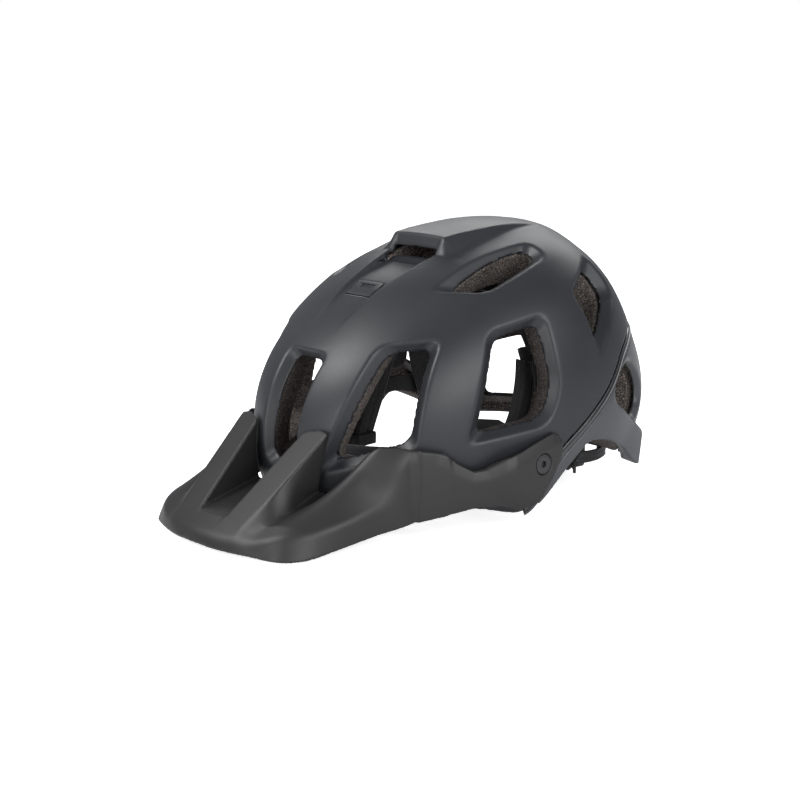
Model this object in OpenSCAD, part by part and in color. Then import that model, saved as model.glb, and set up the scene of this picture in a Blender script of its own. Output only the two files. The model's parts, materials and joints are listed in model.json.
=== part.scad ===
// Trail cycling helmet with a tilting visor, drawn as an assembly.
// X is across (the wearer's left is +X), Y runs front (-Y) to back (+Y), Z is up.
// The parts are designed about the middle of the head, then place() moves them so that
// the origin is the middle of the underside.

/* [Helmet body] */
// Half of the body's width
half_w = 109; // [105:0.5:113]
// Reach of the body in front of its centre, before tilting
len_front = 150; // [144:0.5:156]
// Reach of the body behind its centre, before tilting
len_rear = 120; // [116:0.5:124]
// Height of the dome above its centre, before tilting
dome_h = 108; // [104:0.5:112]
// Depth of the body below its centre, before tilting
skirt_h = 79; // [76:0.5:82]
// Forward tilt of the dome, degrees
dome_tilt = 24.5; // [23:0.5:26]
// Thickness of the moulded outer shells
shell_t = 1.8; // [1.4:0.1:2.2]

/* [Head space] */
// Half of the head opening's width
head_w = 80; // [77:0.5:82]
// Head opening in front of the centre
head_front = 119; // [116:0.5:121]
// Head opening behind the centre
head_rear = 86; // [84:0.5:88]
// Height of the head space above the centre
head_h = 88; // [85:0.5:90]

/* [Visor] */
// Forward reach of the visor from the pivot
visor_reach = 178; // [170:1:182]
// Half width of the visor at its front corners
visor_half_w = 72; // [66:1:74]
// Thickness of the visor's moulding
visor_t = 2.6; // [2:0.1:3]
// Pivot position, front to back
pivot_y = -34; // [-35:0.5:-33]
// Pivot position, height
pivot_z = -20; // [-21:0.5:-19]
// Radius of the pivot screw's shank
screw_r = 2.5; // [2:0.1:2.6]

/* [Accessory mount] */
// Width of the cover plate on the front of the crown
cover_w = 23; // [21:0.5:25]
// Length of the cover plate
cover_l = 13.5; // [12:0.5:14]

/* [Retention system] */
// Width of the strap webbing
strap_w = 15; // [12:1:18]
// Thickness of the strap webbing
strap_t = 1.6; // [1.2:0.1:2]
// Radius of the fit dial
dial_r = 12; // [10:0.5:13]
// Pitch radius of the dial's pinion
pinion_r = 5; // [4.8:0.1:5.2]

/* [Hidden] */

shift_y = 46.6;   // brings the middle of the outline over the origin
shift_z = 62;     // brings the lowest point down to z = 0
bulge = 2.04;     // squareness of the body seen from above
crown = 2.68;     // squareness of the body seen from the side
egg = 0.05;       // share of extra width gained egg_len behind the centre
egg_len = 140;
ring_n = 64;      // facets round the body
seam_half = 1.3;  // half height of the seam band, degrees
shell_lift = seam_half + 0.5;  // upper shell's rim above the seam line, degrees
foam_inset = shell_t + 1;      // foam's outer face inside the body's surface

// Lower edge of the foam: [azimuth from the front, elevation]
foam_edge = [[0, 5], [20, 4], [40, -3], [50, -9], [60, -19], [67, -18], [78, -12],
    [91, -7.5], [100, -13], [117, -31], [135, -36], [155, -40], [180, -42]];
// Seam line under the upper shell, rising behind the ear: [azimuth, elevation]
shell_edge = [[0, 5], [20, 4], [40, -3], [50, -9], [60, -18], [66, -16], [78, -5],
    [93, -1.5], [107, 2], [121, 7], [135, 7], [155, 1], [180, -4]];

// Vents: [azimuth, elevation, size of the moulded lip, [across, up] corners]
vents_side = [
    [25, 0, 6, [[0, 47], [25, 50], [20, -3], [-24, -16]]],
    [68, 5, 6, [[-17, 46], [13, 53], [20, 14], [12, -3], [-32, -9]]],
    [60, 60, 6, [[-25, -23], [8, 4], [30, 13], [34, 1], [14, -19], [-5, -29]]],
    [120, 30, 6, [[-33, 24], [1, 37], [3, 17], [-32, -7]]],
    [125, 0, 3, [[-33, 10], [-28, 24], [-8, 31], [9, 18], [12, 0], [-6, -8]]],
    [152, 2, 4, [[-22, -22], [-20, 14], [14, 24], [18, -21]]],
    [150, 50, 5, [[-20, -12], [-16, 8], [16, 12], [20, -8]]]];
vent_front = [0, 5, 5, [[-14, 30], [14, 30], [12, -33], [-12, -33]]];

// Pivot hardware: x is the inner end of each part, on the wearer's left
barrel_x = 86.5;
barrel_r = 4;
flange_x = 99.6;
flange_r = 9;
washer_x = 102.55;
boss_x = 103.8;
boss_r = 9.2;
screw_head_x = 108.65;
screw_head_r = 6;

// Accessory mount, in the frame of at_cover()
cover_facing = 58;    // elevation that the plate faces
cover_up = -28;       // place of the plate up the front face
cover_face = 110.8;   // stand-off of the plate's outer face
cover_t = 2.2;
socket_size = [18, 9, 12.2];
socket_depth = 14.8;  // socket's floor below the plate's outer face

// ---- surfaces -------------------------------------------------------------

function tilt(p) = [p.x,
    p.y*cos(dome_tilt) - p.z*sin(dome_tilt),
    p.y*sin(dome_tilt) + p.z*cos(dome_tilt)];

// Point inset mm inside the body's surface, at an azimuth from the front and an elevation,
// both measured before tilting
function body_pt(azimuth, elevation, inset) =
    let (dir = [sin(azimuth)*cos(elevation), -cos(azimuth)*cos(elevation), sin(elevation)],
         half_x = half_w - inset,
         half_y = (dir.y < 0 ? len_front : len_rear) - inset,
         half_z = (dir.z > 0 ? dome_h : skirt_h) - inset,
         plan = pow(pow(abs(dir.x)/half_x, bulge) + pow(abs(dir.y)/half_y, bulge), crown/bulge),
         p = dir*pow(plan + pow(abs(dir.z)/half_z, crown), -1/crown))
    tilt([p.x*(1 + egg*p.y/egg_len), p.y, p.z]);

// Point of the head space's wall: rise below zero is milletres down the straight skirt,
// rise above zero is an angle up the dome; depth is mm towards the head
function head_pt(azimuth, rise, depth) =
    let (reach = (cos(azimuth) > 0 ? head_front : head_rear) - depth, up = max(rise, 0))
    [(head_w - depth)*sin(azimuth)*cos(up),
     -reach*cos(azimuth)*cos(up),
     (head_h - depth)*sin(up) + min(rise, 0)];

function edge_at(edge, azimuth) = lookup(azimuth > 180 ? 360 - azimuth : azimuth, edge);

// Elevations of an edge at n + 1 azimuths, raised by lift
function edge_list(edge, az_from, az_to, n, lift) =
    [for (i = [0:n]) edge_at(edge, az_from + (az_to - az_from)*i/n) + lift];

// Rings of body points from an edge, raised by lift, to just short of the crown
function body_rings(edge, lift, rows, inset) =
    [for (j = [0:rows-1]) [for (i = [0:ring_n-1])
        let (azimuth = i*360/ring_n, low = edge_at(edge, azimuth) + lift)
        body_pt(azimuth, low + (90 - low)*j/rows, inset)]];

// Grid of body points between two lists of elevations
function body_grid(az_from, az_to, low, high, inset, rows) =
    let (n = len(low) - 1)
    [for (j = [0:rows]) [for (i = [0:n])
        body_pt(az_from + (az_to - az_from)*i/n, low[i] + (high[i] - low[i])*j/rows, inset)]];

function head_grid(az_from, az_to, low, high, depth, cols, rows) =
    [for (j = [0:rows]) [for (i = [0:cols])
        head_pt(az_from + (az_to - az_from)*i/cols, low + (high - low)*j/rows, depth)]];

// ---- sheet builders -------------------------------------------------------

function flat_list(rows) = [for (row = rows) for (p = row) p];
function quad(a, b, c, d) = [[a, b, c], [a, c, d]];

// A domed sheet: rings from the rim to the crown, outer and inner, closed at the rim
module dome(outer, inner, top_out, top_in) {
    n = len(outer[0]);
    rows_out = len(outer);
    rows_in = len(inner);
    crown_out = n*rows_out;
    base = crown_out + 1;
    crown_in = base + n*rows_in;
    polyhedron(
        points = concat(flat_list(outer), [top_out], flat_list(inner), [top_in]),
        convexity = 8,
        faces = concat(
            [for (j = [0:rows_out-2]) for (i = [0:n-1]) let (k = (i+1)%n)
                for (f = quad(j*n+i, (j+1)*n+i, (j+1)*n+k, j*n+k)) f],
            [for (i = [0:n-1]) [(rows_out-1)*n+i, crown_out, (rows_out-1)*n+(i+1)%n]],
            [for (j = [0:rows_in-2]) for (i = [0:n-1]) let (k = (i+1)%n)
                for (f = quad(base+j*n+i, base+j*n+k, base+(j+1)*n+k, base+(j+1)*n+i)) f],
            [for (i = [0:n-1])
                [base+(rows_in-1)*n+i, base+(rows_in-1)*n+(i+1)%n, crown_in]],
            [for (i = [0:n-1]) let (k = (i+1)%n) for (f = quad(i, k, base+k, base+i)) f]));
}

// A curved slab between two grids of points (rows x columns)
module slab(top, bottom) {
    m = len(top);
    n = len(top[0]);
    base = m*n;
    function id(j, i) = j*n + i;
    // Walls along an edge from point a to point b, facing either way
    function wall(a, b) = quad(a, b, base+b, base+a);
    function wall_back(a, b) = quad(a, base+a, base+b, b);
    polyhedron(
        points = concat(flat_list(top), flat_list(bottom)),
        convexity = 6,
        faces = concat(
            [for (j = [0:m-2]) for (i = [0:n-2])
                for (f = quad(id(j, i), id(j+1, i), id(j+1, i+1), id(j, i+1))) f],
            [for (j = [0:m-2]) for (i = [0:n-2]) let (a = base + id(j, i))
                for (f = quad(a, a+1, a+n+1, a+n)) f],
            [for (i = [0:n-2]) for (f = wall(id(0, i), id(0, i+1))) f],
            [for (i = [0:n-2]) for (f = wall_back(id(m-1, i), id(m-1, i+1))) f],
            [for (j = [0:m-2]) for (f = wall_back(id(j, 0), id(j+1, 0))) f],
            [for (j = [0:m-2]) for (f = wall(id(j, n-1), id(j+1, n-1))) f]));
}

module head_slab(az_from, az_to, low, high, depth_out, depth_in, cols, rows) {
    slab(head_grid(az_from, az_to, low, high, depth_out, cols, rows),
         head_grid(az_from, az_to, low, high, depth_in, cols, rows));
}

module body_band(az_from, az_to, low, high, inset_out, inset_in, rows) {
    slab(body_grid(az_from, az_to, low, high, inset_out, rows),
         body_grid(az_from, az_to, low, high, inset_in, rows));
}

// ---- placing --------------------------------------------------------------

module place() { translate([0, shift_y, shift_z]) children(); }
module both_sides() {
    children();
    mirror([1, 0, 0]) children();
}
// Turns +Z outwards to face an azimuth and elevation, with +Y up the body
module facing(azimuth, elevation) {
    rotate([0, 0, azimuth]) rotate([90 - elevation, 0, 0]) children();
}
// A cylinder along +X on the visor's pivot axis
module pivot_disc(x, height, radius, facets) {
    translate([x, pivot_y, pivot_z]) rotate([0, 90, 0])
        cylinder(h = height, r = radius, $fn = facets);
}
// Moves to the cover plate's middle, out mm beyond its outer face
module at_cover(out) {
    facing(0, cover_facing) translate([0, cover_up, cover_face + out]) children();
}
// Hull of blocks given as [centre, size]
module block_hull(blocks) {
    hull() for (block = blocks) translate(block[0]) cube(block[1], center = true);
}

// ---- vents and pockets ----------------------------------------------------

// Cutter that flares outwards by the vent's lip
module vent_tool(vent, lip_scale) {
    lip = vent[2]*lip_scale;
    facing(vent[0], vent[1]) hull() {
        translate([0, 0, 40]) linear_extrude(1)
            offset(r = 2, $fn = 12) offset(delta = lip*0.2 - 2) polygon(vent[3]);
        translate([0, 0, 160]) linear_extrude(1)
            offset(r = 3, $fn = 12) offset(delta = lip*1.3 - 3) polygon(vent[3]);
    }
}
module vent_set(lip_scale) {
    vent_tool(vent_front, lip_scale);
    for (vent = vents_side) both_sides() vent_tool(vent, lip_scale);
}

// Air scoop opening at the front of the hood
module scoop_opening() {
    block_hull([[[0, -46, 101], [42, 12, 6]], [[0, -6, 92], [36, 12, 10]]]);
}

// Pockets for the pivot hardware, the cover plate and the accessory socket
module hardware_pockets() {
    both_sides() {
        pivot_disc(102.5, 12, boss_r + 0.5, 40);
        pivot_disc(flange_x - 0.6, 4, flange_r + 0.2, 40);
        pivot_disc(barrel_x - 0.5, 14, barrel_r + 0.3, 24);
    }
    at_cover(0) {
        translate([0, 0, 7.6]) cube([cover_w + 0.6, cover_l + 0.6, 20], center = true);
        translate([0, 0, -8.4]) cube(socket_size + [0.4, 0.4, 1], center = true);
    }
}

// ---- shells ---------------------------------------------------------------

module dome_sheet(inset_out, inset_in) {
    rows = 11;
    dome(body_rings(shell_edge, shell_lift, rows, inset_out),
         body_rings(shell_edge, shell_lift, rows, inset_in),
         body_pt(0, 90, inset_out), body_pt(0, 90, inset_in));
}

// Raised hood over the scoop, fading into the crown
module scoop_hood() {
    block_hull([
        [[0, -38, 101.5], [62, 5, 4]],
        [[0, -35, 107], [48, 6, 6]],
        [[0, 26, 111.5], [30, 6, 8]],
        [[0, 30, 111], [46, 6, 4]]]);
}

module upper_shell() {
    color("#26272a") place() difference() {
        union() {
            dome_sheet(0, shell_t);
            // The hood keeps only what stands outside the foam
            difference() {
                scoop_hood();
                hull() dome_sheet(shell_t - 0.1, shell_t + 1);
            }
        }
        vent_set(1);
        scoop_opening();
        hardware_pockets();
    }
}

// Ledge that stands out of the lower shell behind the ear
module rear_wing() {
    corners = [[100, 32, -6], [95, 44, -30], [90, 64, -34], [92, 70, -12], [98, 55, -6]];
    hull() for (corner = corners) translate(corner) sphere(3, $fn = 16);
}

module lower_shell() {
    az_from = 66;
    az_to = 294;
    cols = 46;
    rows = 5;
    low = edge_list(foam_edge, az_from, az_to, cols, 0);
    seam = edge_list(shell_edge, az_from, az_to, cols, -seam_half - 0.3);
    high = [for (i = [0:cols]) max(seam[i], low[i] + 0.8)];
    color("#3c3e42") place() difference() {
        union() {
            body_band(az_from, az_to, low, high, 0, shell_t, rows);
            difference() {
                both_sides() rear_wing();
                hull() body_band(az_from, az_to, [for (v = low) v - 4], [for (v = high) v + 14],
                    shell_t - 0.1, shell_t + 3, rows);
            }
        }
        vent_set(0.6);
    }
}

module seam_band() {
    az_from = 60;
    az_to = 300;
    cols = 60;
    color("#0c0c0e") place() body_band(az_from, az_to,
        edge_list(shell_edge, az_from, az_to, cols, -seam_half),
        edge_list(shell_edge, az_from, az_to, cols, seam_half),
        -0.5, shell_t - 0.2, 1);
}

module foam_liner() {
    skirt_rows = 4;
    rows_in = 12;
    outer = body_rings(foam_edge, 0, 14, foam_inset);
    rim = outer[0];
    // Head space azimuth that lines up with each rim point
    rim_az = [for (p = rim) atan2(p.x/head_w, -p.y/(p.y < 0 ? head_front : head_rear))];
    inner = [for (j = [0:rows_in-1]) [for (i = [0:ring_n-1])
        let (low = min(rim[i].z + 2, -3))
        head_pt(rim_az[i], j < skirt_rows
            ? low*(1 - j/skirt_rows)
            : 90*(j - skirt_rows)/(rows_in - skirt_rows), 0)]];
    color("#3a332f") place() difference() {
        dome(outer, inner, body_pt(0, 90, foam_inset), head_pt(0, 90, 0));
        vent_set(0.1);
        scoop_opening();
        hardware_pockets();
    }
}

// ---- visor ----------------------------------------------------------------

// Stations across the visor from the centre line out; the last two turn down the side
visor_rear = [[0, -152, -38], [20, -152, -37], [38, -147, -35], [58, -134, -24],
    [70, -124, -13], [80, -116, -8], [92, -99, -12], [93, -95, -24], [90, -92, -47]];
function visor_tip(x, z) = [x, pivot_y - visor_reach + 14*pow(x/60, 2), z];
visor_front = [visor_tip(0, -55), visor_tip(14, -55), visor_tip(28, -55.5),
    visor_tip(42, -56), visor_tip(54, -57), visor_tip(64, -57.5),
    [visor_half_w, -190, -57.5], [visor_half_w + 2, -185, -58], [visor_half_w + 2, -184, -62]];
visor_turn = 7;  // station where the side starts

// Point at a station, from the rear edge (v = 0) to the front (v = 1), arched between
function visor_pt(station, v) = visor_rear[station]*(1 - v) + visor_front[station]*v
    + [0, 0, station < visor_turn ? 6*v*(1 - v) : 0];
// Step from the outer face to the inner face
function visor_step(station) =
    [station < visor_turn ? 0 : -visor_t, 0.6, station > visor_turn ? 0 : -visor_t];
// Grid across both halves: depth 0 is the outer face, 1 the inner face
function visor_grid(depth) =
    [for (j = [0:6]) [for (side = [8:-1:-8])
        let (p = visor_pt(abs(side), j/6) + depth*visor_step(abs(side)))
        [sign(side)*p.x, p.y, p.z]]];

module visor_bill() { slab(visor_grid(0), visor_grid(1)); }

// Wedge beside the centre line, tall at the bill's rear edge and tapering forwards
module visor_fin() {
    hull() {
        translate([25.5, -151.5, -3]) cube([16.5, 2, 2.5]);
        translate([24, -149, -36]) cube([17, 2, 2]);
        translate([15, -198, -49.5]) cube([24, 2, 2]);
    }
}

// Dished plate turned about the pivot: [radius, x]
arm_profile = [[0, 108.2], [24, 108.2], [27, 104.5], [32, 99.5], [42, 94.8], [54, 88.8],
    [66, 84.8], [66, 88.5], [54, 94.5], [42, 100.5], [32, 105.2], [24, 110.4], [0, 111.6]];
// Outline of the side arm seen from the side: [y, z]
arm_outline = [[-98, -47], [-98, -14], [-90, -23], [-30, -2], [-22, -4], [-17, -10],
    [-18, -20], [-33, -40], [-40, -45], [-48, -46], [-60, -43], [-75, -43]];

module visor_arm() {
    intersection() {
        translate([0, pivot_y, pivot_z]) rotate([0, 90, 0])
            rotate_extrude($fn = 96) polygon(arm_profile);
        rotate([90, 0, 90]) translate([0, 0, 70]) linear_extrude(60) polygon(arm_outline);
    }
    pivot_disc(boss_x, 7.6, boss_r, 48);
}

module visor() {
    color("#2f2e30") place() difference() {
        union() {
            visor_bill();
            both_sides() visor_fin();
            both_sides() visor_arm();
        }
        both_sides() {
            pivot_disc(100, 14, screw_r + 0.1, 40);
            pivot_disc(screw_head_x - 0.05, 6, screw_head_r + 0.4, 40);
        }
    }
}

// Recessed-hex pivot screw
module visor_screw() {
    difference() {
        union() {
            pivot_disc(screw_head_x, 2.4, screw_head_r, 48);
            pivot_disc(90, 18.8, screw_r, 40);
        }
        pivot_disc(109.2, 3, 2.3, 6);
    }
}
module visor_screw_left() { color("#17171a") place() visor_screw(); }
module visor_screw_right() { color("#17171a") place() mirror([1, 0, 0]) visor_screw(); }

module friction_washers() {
    color("#3b3b3d") place() both_sides() difference() {
        pivot_disc(washer_x, 1.2, 8.6, 48);
        pivot_disc(102, 3, screw_r + 0.3, 40);
    }
}

// Flanged nuts sunk in the foam
module visor_nuts() {
    color("#b9995a") place() both_sides() difference() {
        union() {
            pivot_disc(flange_x, 2.9, flange_r, 48);
            pivot_disc(barrel_x, 13.2, barrel_r, 32);
        }
        pivot_disc(barrel_x - 0.5, 17, screw_r + 0.05, 40);
    }
}

// ---- accessory mount ------------------------------------------------------

module accessory_socket() {
    color("#1c1c1e") place() at_cover(-socket_depth) difference() {
        translate([-socket_size.x/2, -socket_size.y/2, 0]) cube(socket_size);
        translate([0, 0, 4]) cylinder(h = 20, r = 2.1, $fn = 32);
    }
}

// Plate with a peg into the socket and a shallow recess in its face
module mount_cover() {
    color("#2c2d30") place() at_cover(-cover_t) difference() {
        union() {
            translate([-cover_w/2, -cover_l/2, 0]) cube([cover_w, cover_l, cover_t]);
            translate([0, 0, -7]) cylinder(h = 8, r = 2, $fn = 32);
        }
        translate([-6.5, 0.6, 1.3]) cube([13, 3.6, 2]);
    }
}

// ---- comfort pads ---------------------------------------------------------

pad_out = 1.4;  // depth of a pad's outer face from the head space's wall
pad_in = 6;     // depth of its inner face

module brow_pad() { color("#1b1b1d") place() head_slab(-46, 46, -30, -12, 5.2, 9.2, 18, 2); }

module side_pad() { head_slab(86, 101, 4, 27, pad_out, pad_in, 5, 4); }
module side_pad_left() { color("#1b1b1d") place() side_pad(); }
module side_pad_right() { color("#1b1b1d") place() mirror([1, 0, 0]) side_pad(); }

// Strip under the crown, centred on x, running forwards from y_from to y_to
module crown_strip(x, width, y_from, y_to) {
    n = 8;
    function strip_pt(i, side, depth) =
        let (y = y_from + (y_to - y_from)*i/n,
             reach = (y < 0 ? head_front : head_rear) - depth,
             across = x + side*width/2)
        [across, y, (head_h - depth)
            *sqrt(max(0, 1 - pow(y/reach, 2) - pow(across/(head_w - depth), 2)))];
    function strip_grid(depth) =
        [for (side = [-1:1]) [for (i = [0:n]) strip_pt(i, side, depth)]];
    slab(strip_grid(pad_out), strip_grid(pad_in));
}
module crown_side_strip() { crown_strip(43, 16, 34, -40); }
module crown_pad_centre() { color("#1b1b1d") place() crown_strip(0, 18, 24, -62); }
module crown_pad_left() { color("#1b1b1d") place() crown_side_strip(); }
module crown_pad_right() { color("#1b1b1d") place() mirror([1, 0, 0]) crown_side_strip(); }

// Hook disc between a pad and the foam, laid flat on the head space's wall
module hook_disc(azimuth, rise) {
    p = head_pt(azimuth, rise, 0);
    reach = cos(azimuth) > 0 ? head_front : head_rear;
    outward = [p.x/pow(head_w, 2), p.y/pow(reach, 2), p.z/pow(head_h, 2)];
    translate(p - outward/norm(outward)*1.2)
        rotate([0, 0, atan2(outward.y, outward.x)])
        rotate([0, 90 - atan2(outward.z, norm([outward.x, outward.y])), 0])
        cylinder(h = 0.45, r = 5, $fn = 24);
}
module pad_fasteners() {
    color("#111113") place() {
        both_sides() hook_disc(94, 14);
        hook_disc(0, 78);
        hook_disc(0, 62);
        both_sides() hook_disc(112, 54);
    }
}

// ---- headband and cradle --------------------------------------------------

// Height of the headband's middle, low at brow and nape: [azimuth, z]
band_mid = [[0, -22], [40, -24], [62, -24], [80, -5], [100, -2], [128, -14]];
band_half_h = 5;
band_end = 128;  // azimuth of the band's ends

nape_y = 80;
dial_z = -45;

module headband() {
    n = 60;
    function band_grid(depth) =
        [for (side = [-1, 1]) [for (i = [0:n])
            let (azimuth = -band_end + 2*band_end*i/n)
            head_pt(azimuth, min(lookup(abs(azimuth), band_mid) + side*band_half_h, 2), depth)]];
    color("#18181a") place() slab(band_grid(3), band_grid(4.6));
}

module headband_anchors() {
    // [azimuth, low, high]
    anchors = [[52, -27, -19], [112, -9, -3]];
    color("#101012") place() both_sides() for (a = anchors)
        head_slab(a[0] - 4, a[0] + 4, a[1], a[2], 0.4, 2.8, 2, 1);
}

// Rail on the foam that the cradle's stem slides in
module height_rail() {
    color("#101012") place() difference() {
        translate([-11, nape_y - 0.6, -32]) cube([22, 4.4, 38]);
        translate([-7.2, nape_y + 0.6, -35]) cube([14.4, 2, 42]);
        translate([-4.6, nape_y - 2, -35]) cube([9.2, 4, 42]);
    }
}

// Nape cradle: a dished yoke with a stem that runs in the rail
module cradle() {
    n = 12;
    spread = 46;  // half angle of the yoke
    function yoke_grid(depth) =
        [for (j = [0:2]) [for (i = [0:n])
            let (angle = spread - 2*spread*i/n)
            [(72 - depth)*sin(angle), (nape_y - 1 - depth)*cos(angle),
             dial_z - 11 + j*10 + (abs(angle) > 30 ? 5 : 0)]]];
    color("#1a1a1c") place() union() {
        slab(yoke_grid(0), yoke_grid(2));
        translate([-4, nape_y - 2.6, dial_z]) cube([8, 4.6, 36]);
        translate([-6.6, nape_y + 0.9, dial_z + 20]) cube([13.2, 1.4, 16]);
    }
}

module cradle_pads() {
    function pad_grid(half_x, half_y, top, height) =
        [for (j = [0:1]) [for (i = [0:4])
            let (angle = 12 + 26*i/4)
            [half_x*sin(angle), half_y*cos(angle), dial_z + top - height*j]]];
    color("#1b1b1d") place() both_sides()
        slab(pad_grid(68.5, 75.5, 8, 14), pad_grid(65, 72, 7, 12));
}

// ---- dial and racks -------------------------------------------------------

housing_y = 82;      // inner face of the dial housing
housing_t = 8;
housing_screw_x = 19;
shaft_r = 2.5;
pinion_teeth = 10;
rack_pitch = 2*PI*pinion_r/pinion_teeth;
rack_y = housing_y + 2.8;
rack_w = 2.4;        // rack's size front to back
rack_t = 1.7;        // height of the rack's bar

// Moves to the dial's height, y mm behind the housing's inner face, with +Z to the back
module at_dial(x, y) {
    translate([x, housing_y + y, dial_z]) rotate([-90, 0, 0]) children();
}

module dial_housing() {
    color("#202023") place() difference() {
        at_dial(0, 0) linear_extrude(housing_t) offset(r = 4) square([44, 16], center = true);
        translate([-22, housing_y + 1.6, dial_z - 8.4]) cube([44, 4.8, 16.8]);
        // Slots for the two racks
        for (z = [4.6, -8.4]) translate([-40, housing_y + 2.6, dial_z + z]) cube([80, 2.8, 3.8]);
        at_dial(0, -1) cylinder(h = 12, r = shaft_r + 0.05, $fn = 40);
        both_sides() at_dial(housing_screw_x, -1) cylinder(h = 12, r = 1.3, $fn = 24);
    }
}

module housing_screws() {
    color("#8a8a8e") place() both_sides()
        at_dial(housing_screw_x, housing_t + 0.05) difference() {
            union() {
                cylinder(h = 1, r = 2.2, $fn = 32);
                translate([0, 0, -7.6]) cylinder(h = 8, r = 1.2, $fn = 24);
            }
            translate([0, 0, 0.4]) cylinder(h = 1, r = 0.9, $fn = 6);
        }
}

// Ribbed knob with its shaft
module fit_dial() {
    knob_h = 7;
    ribs = 18;
    color("#232326") place() at_dial(0, 9.4) {
        difference() {
            union() {
                cylinder(h = knob_h, r = dial_r - 1, $fn = 72);
                for (i = [0:ribs-1]) rotate(i*360/ribs)
                    translate([dial_r - 1.4, -1.1, 0]) cube([1.4, 2.2, knob_h]);
            }
            translate([0, 0, 5.4]) cylinder(h = 3, r = dial_r - 4, $fn = 60);
        }
        translate([0, 0, -8]) cylinder(h = 8.2, r = shaft_r, $fn = 40);
    }
}

// Pinion on the dial's shaft
module dial_pinion() {
    width = 3.6;
    root = pinion_r - 1.6;
    tip = pinion_r + 0.75;
    color("#c9c9c4") place() at_dial(0, 2.2) difference() {
        union() {
            cylinder(h = width, r = pinion_r - 1.15, $fn = 48);
            for (i = [0:pinion_teeth-1]) rotate(90 + i*360/pinion_teeth) linear_extrude(width)
                polygon([[root, -0.75], [tip, -0.28], [tip, 0.28], [root, 0.75]]);
        }
        translate([0, 0, -1]) cylinder(h = 6, r = shaft_r, $fn = 40);
    }
}

// Toothed tongue; side = 1 runs above the pinion, side = -1 below it
module rack(side) {
    above = side > 0;
    bar_z = dial_z + side*(pinion_r + 1.35) - (above ? 0 : rack_t);
    color("#d2d2cc") place() union() {
        translate([above ? -7 : -43, rack_y, bar_z]) cube([50, rack_w, rack_t]);
        for (i = [-1:4])
            translate([side*(i + 0.5)*rack_pitch, rack_y, dial_z + side*(pinion_r + 1.4)])
            rotate([-90, 0, 0]) linear_extrude(rack_w)
            polygon([[-0.75, 0], [-0.3, side*2.1], [0.3, side*2.1], [0.75, 0]]);
        // Block at the outer end
        translate([above ? 42.5 : -46.5, housing_y + 1.6, dial_z + side*(pinion_r + 2.2) - 3])
            cube([4, 4.8, 6]);
    }
}
module rack_left() { rack(1); }
module rack_right() { rack(-1); }

// ---- straps ---------------------------------------------------------------

strap_y = 8;         // middle of the stowed strap, front to back
chin_depth = 10;     // depth of the chin strap's outer face from the head space's wall
side_depth = 10.2;   // the same for the side straps
front_leg_az = 74;
rear_leg_az = 114;

// Webbing leg from an anchor at the rim up to the divider
module leg(az_from, low, az_to, high) {
    n = 6;
    half_angle = strap_w/2*57.3/100;  // half the width, in degrees at a radius of 100
    function leg_grid(depth) =
        [for (side = [1, -1]) [for (i = [0:n])
            head_pt(az_from + (az_to - az_from)*i/n + side*half_angle,
                low + (high - low)*i/n, depth)]];
    slab(leg_grid(side_depth), leg_grid(side_depth + strap_t));
}
module side_strap() {
    leg(front_leg_az, -30, 88, 18);
    leg(rear_leg_az, -14, 101, 18);
}
module side_strap_left() { color("#141416") place() side_strap(); }
module side_strap_right() { color("#141416") place() mirror([1, 0, 0]) side_strap(); }

module strap_anchor(azimuth, low, high) {
    head_slab(azimuth - 5, azimuth + 5, low, high, 6.5, 14, 3, 1);
}
module strap_anchors_front() {
    color("#101012") place() both_sides() strap_anchor(front_leg_az, -40, -31.5);
}
module strap_anchors_rear() {
    color("#101012") place() both_sides() strap_anchor(rear_leg_az, -25, -15.5);
}

// Frame of the divider, at its lower front corner
module divider_seat() { translate([61.5, strap_y - 13, 28]) rotate([0, -24, 0]) children(); }

hinge_x = -1.3;   // the lever's hinge, from the divider's corner
hinge_z = 2.1;
module hinge_rod(y_from, y_to, radius) {
    translate([hinge_x, y_from, hinge_z]) rotate([-90, 0, 0])
        cylinder(h = y_to - y_from, r = radius, $fn = 32);
}

// Cam divider that joins the two legs to the chin strap
module divider() {
    divider_seat() difference() {
        union() {
            cube([3.4, 26, 13]);
            for (y = [3.3, 20.5]) translate([-2.5, y, 0.8]) cube([2.8, 2.2, 2.7]);
        }
        translate([1, 3, -1]) cube([1.4, 20, 6]);
        translate([-1, 13, 9.5]) rotate([0, 90, 0]) cylinder(h = 6, r = 1.1, $fn = 24);
        hinge_rod(3, 23, 0.75);
    }
}
module divider_lever() {
    divider_seat() union() {
        difference() {
            union() {
                translate([-2.4, 6, hinge_z]) cube([2.2, 14, 9.9]);
                hinge_rod(6, 20, 1.1);
            }
            translate([-3, 9, 4.6]) cube([4, 8, 2]);
        }
        hinge_rod(3.6, 22.4, 0.7);
    }
}
module divider_left() { color("#202022") place() divider(); }
module divider_right() { color("#202022") place() mirror([1, 0, 0]) divider(); }
module divider_lever_left() { color("#2a2a2d") place() divider_lever(); }
module divider_lever_right() { color("#2a2a2d") place() mirror([1, 0, 0]) divider_lever(); }

// Webbing arched under the crown between two angles from the top
module arch(from, to) {
    n = max(2, ceil(abs(to - from)/6));
    function arch_pt(i, depth) =
        let (angle = from + (to - from)*i/n)
        [(head_w - depth)*sin(angle), (head_h - depth)*cos(angle)];
    translate([0, strap_y + strap_w/2, 0]) rotate([90, 0, 0]) linear_extrude(strap_w)
        polygon(concat([for (i = [0:n]) arch_pt(i, chin_depth)],
                       [for (i = [n:-1:0]) arch_pt(i, chin_depth + strap_t)]));
}
module chin_strap_left() { color("#141416") place() arch(54, 17); }
module chin_strap_right() { color("#141416") place() arch(-54, -31); }

// Side-release buckle stowed under the crown
module at_buckle() { translate([0, strap_y, head_h - 21]) children(); }

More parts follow.
